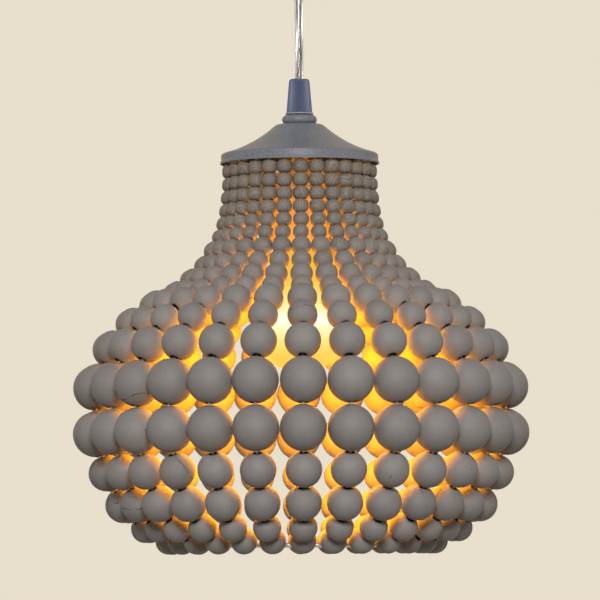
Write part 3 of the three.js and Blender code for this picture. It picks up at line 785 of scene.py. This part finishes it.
RING_WIDTH = 9
lathed("cap_ring", band(ring_outer - RING_WIDTH, ring_outer, ring_low_z, ring_top_z), 96, steel_finish,
       "lamp", "plain_steel", "top_ring")
print("hoop:", round(2 * hoop_radius), "mm across, wire length:", round(wire_end - wire_top), "mm")

# %% [markdown]
# ## Spun cap, collar and rose
# The cap and the rose are spun from sheet steel and share one paint, a satin blue-grey with fine grains,
# whose raised tops are painted pale as highlights. Real grains are about half a millimetre, and are drawn
# twice as coarse, or the speckle on the rim would not show. The cap is a band with a lip at its foot, a
# hollow cone and a round shoulder.

# %% Sandy paint
GRIT_MM = 1.1


def sandy_paint():
    """Blue-grey textured paint: satin, with grains whose raised tops are painted pale as highlights."""
    material, tree = new_finish("sand-textured blue-grey paint")
    point = own_place(tree)
    grit = noise_at(tree, point, 1 / GRIT_MM / MM, 3.0, Roughness=0.7)
    even = blend(tree, noise_at(tree, point, 0.06 / MM, 3.0), "6c6f76", "7e8188")
    # Painted highlight: the raised grains are coloured pale, as the glints that they catch.
    grain_glint = spread(tree, grit, (0, 0.6), given=(0.42, 0.68))
    return finished(material, {
        "Base Color": blend(tree, grain_glint, even, "a2a5ad"),
        "Roughness": spread(tree, grit, (0.38, 0.54)),
        "Specular IOR Level": 0.3,
        "Normal": relief(tree, grit, 0.4, 0.12),
    })


paint_finish = sandy_paint()

# %% The cap and its collar
SHEET = 0.9
RIM_HEIGHT = 7
RIM_EDGE = 1
LIP_HEIGHT = 1.2
LIP_REACH = 0.7
CONE_TOP_RADIUS = 18.6
CONE_TOP_DROP = 2.6
CONE_SAG = 2.1
SHOULDER_RADIUS = 15.6
TUBE_HOLE = 5.3

rim_top_z = rim_low_z + RIM_HEIGHT
band_radius = cap_radius - LIP_REACH
cone_foot = (band_radius - RIM_EDGE, rim_top_z)
cone_top = (CONE_TOP_RADIUS, cap_top_z - CONE_TOP_DROP)
inner_radius = cap_radius - SHEET
lathed("spun_cap", [
    (inner_radius, rim_low_z, EDGE),
    (cap_radius, rim_low_z, 0.4),
    (cap_radius, rim_low_z + LIP_HEIGHT, EDGE),
    (band_radius, rim_low_z + LIP_HEIGHT + LIP_REACH, FINE_EDGE),
    (band_radius, rim_top_z - RIM_EDGE, 0.9),
    (*cone_foot, 0.6),
    *arc(cone_foot, cone_top, -CONE_SAG, 14)[:-1],
    (*cone_top, 3.0),
    (SHOULDER_RADIUS, cap_top_z, 3.0),
    (TUBE_HOLE, cap_top_z, FINE_EDGE),
    (TUBE_HOLE, cap_top_z - SHEET, FINE_EDGE),
    (SHOULDER_RADIUS, cap_top_z - SHEET, 2.0),
    *arc((CONE_TOP_RADIUS, cone_top[1] - SHEET), (inner_radius, rim_top_z - SHEET), CONE_SAG, 10),
], 128, paint_finish, "lamp", "painted_steel", "top_cap")

COLLAR_BULGE = 2.4
COLLAR_CROWN = 0.7  # how far the collar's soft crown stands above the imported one
collar_radius, collar_low_z, collar_top_z = reach("collar")
collar_top_z += COLLAR_CROWN
waist = collar_radius - COLLAR_BULGE
collar_outline = [
    (TUBE_HOLE, collar_low_z),
    (waist, collar_low_z),
    *arc((waist, collar_low_z), (waist, collar_top_z), COLLAR_BULGE, 12),
    (TUBE_HOLE, collar_top_z),
]
piece("round_collar", turned(collar_outline, 96), paint_finish, "lamp", "painted_steel", "collar")

# %% The rose
ROSE_CORNER = 8
rose_radius, rose_low_z, rose_top_z = reach("rose_cup")
lathed("rose_cover", [
    (TUBE_HOLE, rose_low_z, FINE_EDGE),
    (rose_radius, rose_low_z, ROSE_CORNER),
    (rose_radius, rose_top_z, EDGE),
    (rose_radius - SHEET, rose_top_z, EDGE),
    (rose_radius - SHEET, rose_low_z + SHEET, ROSE_CORNER - SHEET),
    (TUBE_HOLE, rose_low_z + SHEET, FINE_EDGE),
], 128, paint_finish, "rose", "painted_steel", "rose_cup", steps=10)

SCREW_RADIUS = 2
SCREW_HEAD_HEIGHT = 2.2
SLOT_WIDTH = 0.9
SLOT_DEPTH = 1.1
for side, sign in (("left", -1), ("right", 1)):
    low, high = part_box("rose_screw_" + side)
    outer = max(abs(low.x), abs(high.x)) / MM
    inner = min(abs(low.x), abs(high.x)) / MM
    head_radius = high.y / MM
    seat = outer - SCREW_HEAD_HEIGHT
    screw_outline = eased([(0, inner), (SCREW_RADIUS, inner, 0.4), (SCREW_RADIUS, seat),
                           (head_radius, seat, FINE_EDGE),
                           (head_radius, seat + SCREW_HEAD_HEIGHT / 2, 1.2), (0, outer)], 6)
    lying = Matrix.Translation((0, 0, (low.z + high.z) / 2 / MM)) @ Matrix.Rotation(sign * TURN / 4, 4, "Y")
    screw = piece("rose_screw_head_" + side, placed(turned(screw_outline, 32), lying), steel_finish,
                  "rose", "plain_steel", "rose_screw_" + side)
    block_corners = [(x * (head_radius + 1), y * SLOT_WIDTH / 2) for x, y in SQUARE]
    carve(screw, placed(laid_rings([[(x, y, z) for x, y in block_corners]
                                    for z in (outer - SLOT_DEPTH, outer + 1)]), lying))
print("rose:", 2 * rose_radius, "mm across")

# %% [markdown]
# ## Moulded plastic
# The cord grip on the lamp is moulded nylon, bluer than the paint, with fine upright ribs for the fingers
# and a pale line along its foot edge, which is a painted highlight. The grip and the nut in the rose and
# the ivory lamp holder are moulded too. Moulded plastic is even in colour, with a soft sheen and a faint
# orange-peel.

# %% Plastics
def moulded(name, dark, pale, roughness, peel_mm=0.6):
    """A moulded plastic: two close tones, a sheen, and a fine orange-peel."""
    return clouded(name, dark, pale, (roughness - 0.06, roughness + 0.06), 0.15, 3.0, peel_mm=peel_mm)


nylon_finish = moulded("blue-grey moulded nylon", "525a76", "656d89", 0.5)
# A pale nylon for the grip's foot edge: a painted highlight, the line of light that the edge catches.
highlit_nylon_finish = moulded("pale nylon for a painted highlight", "8d91a1", "a2a6b5", 0.4)
phenolic_finish = moulded("black phenolic resin", "262628", "38383b", 0.3)
white_finish = moulded("white moulded plastic", "e2e0da", "efede8", 0.4)
ivory_finish = moulded("ivory moulded plastic", "dcc08a", "e8d0a0", 0.45)

# %% The ribbed grip
RIBS = 32
RIB_POINTS = 8
RIB_DEPTH = 0.8
GRIP_LOW_RADIUS = 8.6
GRIP_TOP_RADIUS = 6.9
GRIP_FOOT = 1.2
GRIP_CROWN = 1.4
CROWN_RADIUS = 6
CORD_BORE = 3.5
MOUTH = 1.2

grip_foot_radius, grip_low_z, grip_top_z = reach("cord_grip")
tube_radius, tube_low_z, tube_top_z = reach("threaded_tube")


def ribbed(radius, depth):
    """A radius that follows the angle in round-topped ribs."""
    return lambda angle: radius - depth * (0.5 - 0.5 * math.cos(RIBS * angle)) ** 0.7


grip_sides = RIBS * RIB_POINTS
rib_low_z = grip_low_z + GRIP_FOOT
foot_edge = 0.35
rib_top_z = grip_top_z - GRIP_CROWN
grip_levels = [
    (grip_foot_radius - foot_edge, grip_low_z, 0),
    (grip_foot_radius, grip_low_z + foot_edge, 0),
    (grip_foot_radius, rib_low_z - foot_edge, 0),
    (grip_foot_radius - foot_edge, rib_low_z, 0),
    (GRIP_LOW_RADIUS + 0.1, rib_low_z, 0),
    (GRIP_LOW_RADIUS, rib_low_z + 0.1, 0.6),
    (GRIP_LOW_RADIUS - 0.02, rib_low_z + 0.4, 1),
    (GRIP_TOP_RADIUS + 0.02, rib_top_z - 0.4, 1),
    (GRIP_TOP_RADIUS - 0.1, rib_top_z, 0.6),
    (CROWN_RADIUS + 0.35, grip_top_z - 0.45, 0.1),
    (CROWN_RADIUS, grip_top_z - 0.1, 0),
    (CROWN_RADIUS - 0.4, grip_top_z, 0),
    (CORD_BORE + MOUTH, grip_top_z, 0),
    (CORD_BORE + MOUTH / 3, grip_top_z - MOUTH / 2, 0),
    (CORD_BORE, grip_top_z - MOUTH, 0),
    (CORD_BORE, tube_top_z + GAP, 0),
    (TUBE_HOLE, tube_top_z + GAP, 0),
    (TUBE_HOLE, grip_low_z, 0),
]
grip_rings = [level_ring(ribbed(radius, RIB_DEPTH * share), z, grip_sides)
              for radius, z, share in grip_levels]
piece("ribbed_grip", laid_rings(grip_rings, closed=True), nylon_finish, "grip", "ribbed_plastic",
      "cord_grip")

# A thin pale ring round the grip's foot: a painted highlight.
HIGHLIT_EDGE = 0.15
lathed("grip_highlight_ring", band(grip_foot_radius - 1, grip_foot_radius + HIGHLIT_EDGE, grip_low_z - HIGHLIT_EDGE,
                              rib_low_z - foot_edge, 0.1), 96, highlit_nylon_finish, "grip", "ribbed_plastic")

# %% The rose's grip
FLANGE_HEIGHT = 2.5
TIP_RADIUS = 6.6
GRIP_NECK = 5
flange_radius, tip_z, neck_top_z = reach("rose_cord_grip")
flange_top_z = rose_low_z - GAP
flange_low_z = flange_top_z - FLANGE_HEIGHT
lathed("rose_grip", [
    (CORD_BORE + MOUTH, tip_z, EDGE),
    (TIP_RADIUS, tip_z, 0.8),
    (flange_radius - 0.8, flange_low_z, 0.5),
    (flange_radius, flange_low_z, 0.4),
    (flange_radius, flange_top_z, EDGE),
    (GRIP_NECK, flange_top_z),
    (GRIP_NECK, neck_top_z, EDGE),
    (CORD_BORE, neck_top_z, EDGE),
    (CORD_BORE, tip_z + MOUTH, 0.5),
], 64, nylon_finish, "rose", "ribbed_plastic", "rose_cord_grip")

# %% [markdown]
# ## Tube, nuts and washer
# A steel tube with a fine thread carries everything: grip, collar, cap and lamp holder are screwed or
# clamped on it, and the cord runs through it. A thread is a ring whose radius follows height and angle, so
# that the ridge climbs by one pitch in each turn. A nut is six-sided, with its corners turned off by a
# cone above and below.

# %% Threads and nuts
def threaded(radius, depth, pitch, low_z, top_z, bore, steps=5, sides=36):
    """A tube with a rounded thread outside and a plain bore."""
    rings = []
    count = round((top_z - low_z) / pitch * steps)
    for k in range(count + 1):
        z = low_z + k / count * (top_z - low_z)
        cut_in = depth * min(1.0, (z - low_z) / pitch, (top_z - z) / pitch)
        rings.append(level_ring(
            lambda a, z=z, cut_in=cut_in:
                radius - depth + cut_in * (0.5 - 0.5 * math.cos(TURN * z / pitch - a)),
            z, sides))
    rings.append(level_ring(bore, top_z, sides))
    rings.append(level_ring(bore, low_z, sides))
    return laid_rings(rings, closed=True)


NUT_FLATS = 14
NUT_FACE = 0.96  # of the way to a flat, where a face begins
NUT_CONE = 1.73  # how fast the cone widens away from it


def hex_nut(node, sides=96):
    """A six-sided nut in place of a node, with its corners turned off at both faces."""
    _, low_z, top_z = reach(node)
    flat = NUT_FLATS / 2

    def limited(height_in):
        limit = flat * NUT_FACE + height_in * NUT_CONE
        return lambda angle: min(limit, flat / math.cos((angle + TURN / 12) % (TURN / 6) - TURN / 12))

    levels = [0, 0.15, 0.35, 0.6, 0.9]
    rings = [level_ring(limited(h), low_z + h, sides) for h in levels]
    rings += [level_ring(limited(h), top_z - h, sides) for h in reversed(levels)]
    rings += [level_ring(TUBE_HOLE + EDGE, top_z, sides), level_ring(TUBE_HOLE, top_z - EDGE, sides)]
    rings += [level_ring(TUBE_HOLE, low_z + EDGE, sides), level_ring(TUBE_HOLE + EDGE, low_z, sides)]
    return laid_rings(rings, closed=True)


# %% The tube and what clamps on it
TUBE_BORE = 3.6
TUBE_PITCH = 1
TUBE_THREAD = 0.3

piece("threaded_stem", threaded(tube_radius, TUBE_THREAD, TUBE_PITCH, tube_low_z, tube_top_z, TUBE_BORE),
      steel_finish, "lamp", "plain_steel", "threaded_tube")
piece("hex_lock_nut", hex_nut("lock_nut"), steel_finish, "lamp", "plain_steel", "lock_nut")
piece("grip_nut", hex_nut("rose_grip_nut"), phenolic_finish, "rose", "dark_plastic", "rose_grip_nut")
lathed("plain_washer", band(TUBE_HOLE, *reach("washer"), FINE_EDGE), 64, steel_finish, "lamp", "plain_steel",
       "washer")

# %% [markdown]
# ## Lamp holder
# The holder is a common screw holder in ivory plastic: a domed cap on the tube, a skirt screwed into it,
# a porcelain insert with the contact tongue, and a brass shell pressed with the bulb's coarse thread. Its
# pale walls take on the bulb's colour.

# %% Metals and porcelain of the holder
def pressed_metal(name, dark, pale, roughness):
    """A thin pressed metal: tarnish in clouds over a bright ground."""
    return clouded(name, dark, pale, (roughness + 0.1, roughness - 0.1), 0.3, 4.0, metallic=1.0)


brass_finish = pressed_metal("pressed brass", "9b7f3f", "d2b36a", 0.32)
nickel_finish = pressed_metal("nickel-plated lamp cap", "a9a8a4", "d6d5d1", 0.28)
porcelain_finish = moulded("glazed porcelain", "e6e1d4", "f3efe6", 0.2, 2.0)

# %% The holder
HOLDER_WALL = 1.8
HOLDER_NECK_RADIUS = 9
HOLDER_NECK = 5
CAP_BULGE = 2.5
LEDGE_DROP = 12
BULB_PITCH = 3.6

holder_radius, join_z, holder_top_z = reach("holder_cap")
neck_z = holder_top_z - HOLDER_NECK
cap_side = (holder_radius, join_z + HOLDER_WALL)
inner_side = (holder_radius - HOLDER_WALL, join_z)
lathed("holder_dome", [
    (holder_radius, join_z, EDGE),
    cap_side,
    *arc(cap_side, (HOLDER_NECK_RADIUS, neck_z), CAP_BULGE, 12)[:-1],
    (HOLDER_NECK_RADIUS, neck_z, 0.6),
    (HOLDER_NECK_RADIUS, holder_top_z, 0.6),
    (TUBE_HOLE, holder_top_z, EDGE),
    (TUBE_HOLE, neck_z - HOLDER_WALL),
    *arc((TUBE_HOLE, neck_z - HOLDER_WALL), inner_side, -CAP_BULGE, 8),
], 96, ivory_finish, "lamp", "white_plastic", "holder_cap")

_, skirt_low_z, skirt_top_z = reach("holder_body")
shell_radius, shell_low_z, shell_top_z = reach("screw_shell")
ledge_radius = shell_radius + GAP
lathed("holder_skirt", [
    (ledge_radius, skirt_low_z, 0.6),
    (holder_radius, skirt_low_z, 1.2),
    (holder_radius, skirt_top_z, 0.4),
    (holder_radius - HOLDER_WALL, skirt_top_z, EDGE),
    (holder_radius - HOLDER_WALL, skirt_top_z - LEDGE_DROP),
    (ledge_radius, skirt_top_z - LEDGE_DROP, EDGE),
], 96, ivory_finish, "lamp", "white_plastic", "holder_body")

insert_radius, insert_low_z, insert_top_z = reach("holder_insert")
lathed("porcelain_insert", plug((insert_radius, insert_low_z, 0.8), (insert_radius, insert_top_z, 0.8)),
       64, porcelain_finish, "lamp", "porcelain", "holder_insert")

SHELL_WAVE = 0.25
SHELL_SHEET = 0.3
shell_rings = []
shell_steps = round((shell_top_z - shell_low_z) / BULB_PITCH * 8)
for outside in (True, False):
    for k in range(shell_steps + 1):
        share = k / shell_steps if outside else 1 - k / shell_steps
        z = shell_low_z + share * (shell_top_z - shell_low_z)
        face = shell_radius if outside else shell_radius - SHELL_SHEET
        shell_rings.append(level_ring(
            lambda a, z=z, face=face: face - SHELL_WAVE * (0.5 + 0.5 * math.cos(TURN * z / BULB_PITCH - a)),
            z, 64))
piece("brass_shell", laid_rings(shell_rings, closed=True), brass_finish, "lamp", "brass", "screw_shell")

# %% [markdown]
# ## Lit bulb
# The bulb is pear-shaped, with a frosted plastic diffuser on a white plastic body. Its warm light has much
# red, a third as much green and hardly any blue, which makes the grey balls glow yellow and orange. A real
# diffuser would render as a plain white patch, where the photograph still shows a golden pear with a hot
# middle. So the work is shared. Diffuser and body glow at the level that is seen, over a dark colour, so
# that other light adds little to it. A round light in nearly the same place, which the camera never sees,
# lights the balls and moves with the bulb. It is wider than the bulb, because light that has bounced
# between balls comes from all round, and it keeps one level throughout the shade, as near and far balls do
# in the photograph. Diffuser and body cast no shadow, because light passes through real ones.

# %% Lit plastic
HOT_RISE = 4  # how far the hottest place lies above the diffuser's widest
HOT_FADE = 34
GLOBE_GLOW = [(0.0, "fffef4"), (0.16, "fff5c0"), (0.38, "fde784"), (0.65, "f9cd54"), (1.0, "f3bb3c")]
SHANK_GLOW = [(0.0, "f8ca4e"), (0.6, "f0b63a"), (1.0, "d8912a")]
SHANK_FADE = 60
LAMPLIGHT = (1.0, 0.37, 0.01, 1.0)  # linear, as lamps add up
LAMPLIGHT_POWER = 390
LAMPLIGHT_RADIUS = 74
LAMPLIGHT_DROP = 12  # how far its middle lies below the diffuser's widest
EVEN_REACH = 220  # from the bulb's middle, within which its light stays at one level
FADED_REACH = 600


def lit_plastic(name, hot_z, fade, glow_stops):
    """Frosted or white plastic with light behind it, hottest at one height and cooler over a length."""
    material, tree = new_finish(name)
    point = own_place(tree)
    height = add(tree, "SeparateXYZ", {"Vector": point}).outputs["Z"]
    far = maths(tree, "ABSOLUTE", maths(tree, "SUBTRACT", height, hot_z * MM))
    glow = add(tree, "ValToRGB", {"Fac": maths(tree, "DIVIDE", far, fade * MM)})
    stops = glow.color_ramp.elements
    stops.remove(stops[1])
    for place, colour in glow_stops:
        stop = stops.new(place) if place else stops[0]
        stop.color = linear(colour)
    frost = noise_at(tree, point, 2 / MM)
    return finished(material, {
        "Base Color": blend(tree, frost, "4a4334", "554d3c"),
        "Roughness": 0.45,
        "Normal": relief(tree, frost, 0.1, 0.05),
        "Emission Color": glow.outputs[0],
        "Emission Strength": 1.0,
    })


# %% The diffuser
GLOBE_RADIUS = 30
GLOBE_WALL = 1.4
GLOBE_SHOULDER = 29
BODY_LOW_RADIUS = 25
BODY_TOP_RADIUS = 14.5
BODY_BULGE = 1.2
CAP_THREAD = 0.9
CAP_CHAMFER = 2

_, globe_low_z, globe_top_z = reach("bulb_globe")
globe_middle_z = globe_top_z - GLOBE_SHOULDER
hot_z = globe_middle_z + HOT_RISE
diffuser_finish = lit_plastic("frosted diffuser lit warm", hot_z, HOT_FADE, GLOBE_GLOW)
shank_finish = lit_plastic("white lamp plastic lit through", hot_z, SHANK_FADE, SHANK_GLOW)


def globe_outline(radius, steps):
    """A half ball below its middle, and a longer curve up to the bulb's body."""
    neck_share = BODY_LOW_RADIUS / GLOBE_RADIUS
    stretch = GLOBE_SHOULDER / math.sqrt(1 - neck_share ** 2)
    outline = []
    for i in range(steps + 1):
        angle = -TURN / 4 + i / steps * (TURN / 4 + math.acos(neck_share))
        tall = radius if angle < 0 else stretch * radius / GLOBE_RADIUS
        outline.append((radius * math.cos(angle) if i else 0, globe_middle_z + tall * math.sin(angle)))
    return outline


globe = globe_outline(GLOBE_RADIUS, 28) + globe_outline(GLOBE_RADIUS - GLOBE_WALL, 16)[::-1]
diffuser = piece("bulb_diffuser", turned(globe, 72), diffuser_finish, "bulb", "lit_diffuser", "bulb_globe")
diffuser.visible_shadow = False
diffuser.visible_diffuse = False

# %% The light of the bulb
lamplight_data = bpy.data.lights.new("lamplight", "POINT")
lamplight_data.energy = LAMPLIGHT_POWER
lamplight_data.shadow_soft_size = LAMPLIGHT_RADIUS * MM
tree = empty_tree(lamplight_data)
distance = add(tree, "LightPath").outputs["Ray Length"]
faded = spread(tree, distance, (1, 0), given=(EVEN_REACH * MM, FADED_REACH * MM),
               interpolation_type="SMOOTHSTEP")
even = add(tree, "LightFalloff", {"Strength": faded}).outputs["Constant"]
shine = add(tree, "Emission", {"Color": LAMPLIGHT, "Strength": even})
add(tree, "OutputLight", {"Surface": shine.outputs[0]})
lamplight = in_scene("lamplight", lamplight_data)
lamplight.location = (0, 0, (globe_middle_z - LAMPLIGHT_DROP) * MM)
lamplight.visible_camera = False
lamplight.visible_glossy = False
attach(lamplight, "bulb")

# %% The bulb's body, cap and contact
_, body_low_z, body_top_z = reach("bulb_body")
body_low = (BODY_LOW_RADIUS, body_low_z)
shank = lathed("bulb_shank", plug(
    (*body_low, EDGE),
    *arc(body_low, (BODY_TOP_RADIUS, body_top_z), BODY_BULGE, 10)[:-1],
    (BODY_TOP_RADIUS, body_top_z, 0.8),
), 72, shank_finish, "bulb", "white_plastic", "bulb_body")
shank.visible_shadow = False

bulb_cap_radius, bulb_cap_low_z, bulb_cap_top_z = reach("bulb_cap")
insulator_radius, insulator_low_z, insulator_top_z = reach("bulb_insulator")
contact_radius, contact_low_z, contact_top_z = reach("bulb_contact")
thread_top_z = bulb_cap_top_z - CAP_CHAMFER
core_radius = bulb_cap_radius - CAP_THREAD
thread_shape = threaded(bulb_cap_radius, CAP_THREAD, BULB_PITCH, bulb_cap_low_z, thread_top_z,
                        core_radius - 0.6, steps=10, sides=64)
crown_outline = eased(plug((core_radius, thread_top_z - 0.2), (core_radius, thread_top_z, 0.5),
                           (insulator_radius, bulb_cap_top_z, 0.6)))
piece("bulb_screw_cap", together(thread_shape, turned(crown_outline, 64)), nickel_finish, "bulb",
      "bulb_metal", "bulb_cap")
lathed("bulb_glass_bead", plug((insulator_radius, insulator_low_z, FINE_EDGE),
                               (contact_radius, insulator_top_z, 0.5)),
       48, phenolic_finish, "bulb", "dark_plastic", "bulb_insulator")
lathed("bulb_end_contact", plug((contact_radius, contact_low_z, FINE_EDGE),
                                (contact_radius, contact_top_z, 0.7)),
       48, nickel_finish, "bulb", "bulb_metal", "bulb_contact")
print("bulb:", 2 * GLOBE_RADIUS, "mm across,", round(contact_top_z - globe_low_z), "mm long")

# %% [markdown]
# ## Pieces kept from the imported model
# The strap, the terminal block and the contact tongue are flat and plain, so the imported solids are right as
# they are. They get a finish, and a narrow bevel that catches the light.

# %% Kept pieces
KEPT = {
    "ceiling_bracket": (steel_finish, 0.3),
    "terminal_block": (white_finish, 0.6),
    "centre_contact": (brass_finish, 0.12),
}
for name, (finish, width) in KEPT.items():
    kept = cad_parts[name]
    kept.data.materials.clear()
    kept.data.materials.append(finish)
    bevel = kept.modifiers.new("edge", "BEVEL")
    bevel.width = width * MM
    bevel.segments = 2
    bevel.angle_limit = SHARP_ANGLE

# %% [markdown]
# ## Floor and light
# The studio is pale and plain. A large soft lamp near the camera gives the balls their bright middles and
# darker edges. One behind and two weak ones at the sides keep the rest of the lamp readable, two weak warm
# ones behind stand for a wall that returns light to the edges, and the world fills the rest evenly. The
# camera sees the world and the floor as a pale ground, and so do gloss and clear vinyl.

# %% The floor
FLOOR_Z = -6500  # so low that the lamp can be looked at from below
FLOOR_REACH = 30000
FLOOR_PALENESS = 0.92
GROUND_COLOUR = "e8dfcc"


def seen_rays(tree):
    """One for the rays that show the ground: the camera's, and those seen in gloss or through vinyl."""
    rays = add(tree, "LightPath").outputs
    seen = maths(tree, "ADD", rays["Is Camera Ray"], rays["Is Glossy Ray"])
    return maths(tree, "ADD", seen, rays["Is Transmission Ray"], use_clamp=True)


def pale_floor():
    """Matte pale paint, a little uneven, which keeps its paleness where the lamps hardly reach."""
    material, tree = new_finish("pale matte floor paint")
    return finished(material, {
        "Base Color": blend(tree, noise_at(tree, own_place(tree), 0.8, 3.0), "a8a29a", "aea8a0"),
        "Roughness": 0.9,
        "Emission Color": GROUND_COLOUR,
        "Emission Strength": maths(tree, "MULTIPLY", seen_rays(tree), FLOOR_PALENESS),
    })


floor_corners = [(x * FLOOR_REACH, y * FLOOR_REACH, FLOOR_Z) for x, y in SQUARE]
floor = in_scene("floor", tidy_mesh("floor", (floor_corners, [(0, 1, 2, 3)])))
floor.data.materials.append(pale_floor())
floor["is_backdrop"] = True

# %% Lights and world
WORLD_STRENGTH = 0.11
LAMP_MIDDLE = Vector((0, 0, -0.3))
SOFT_LAMPS = {  # power in watts, width in metres, colour, place in metres
    "key": (49.0, 0.8, "ffffff", (0.05, -2.6, 0.5)),
    "back": (42.0, 0.8, "ffffff", (0.05, 2.6, 0.1)),
    "left": (5.0, 0.8, "ffffff", (-2.6, 0.2, 0.1)),
    "right": (5.0, 0.8, "ffffff", (2.6, 0.2, 0.1)),
    "left_return": (4.0, 1.6, "ffa050", (-1.1, 2.1, 0.75)),
    "right_return": (4.0, 1.6, "ffa050", (1.1, 2.1, 0.75)),
}

world = bpy.data.worlds.new("studio")
bpy.context.scene.world = world
sky = empty_tree(world)
fill = add(sky, "Background", {"Color": "ffffff", "Strength": WORLD_STRENGTH})
ground = add(sky, "Background", {"Color": GROUND_COLOUR, "Strength": 1.0})
either = add(sky, "MixShader", {0: seen_rays(sky), 1: fill.outputs[0], 2: ground.outputs[0]})
add(sky, "OutputWorld", {"Surface": either.outputs[0]})

for name, (power, size, colour, place) in SOFT_LAMPS.items():
    soft_data = bpy.data.lights.new(name, "AREA")
    soft_data.energy = power
    soft_data.color = linear(colour)[:3]
    soft_data.shape = "DISK"
    soft_data.size = size
    soft = in_scene(name, soft_data)
    soft.visible_camera = False
    soft.visible_glossy = name != "back"  # it would show as white specks along the cap
    soft.location = place
    soft.rotation_euler = (LAMP_MIDDLE - Vector(place)).to_track_quat("-Z", "Y").to_euler()

# %% The colour transform, the sizes and the end
bpy.context.scene.view_settings.view_transform = "Standard"
low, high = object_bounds()
print("dressed box, mm:", [round(x / MM, 1) for x in (*low, *high)])
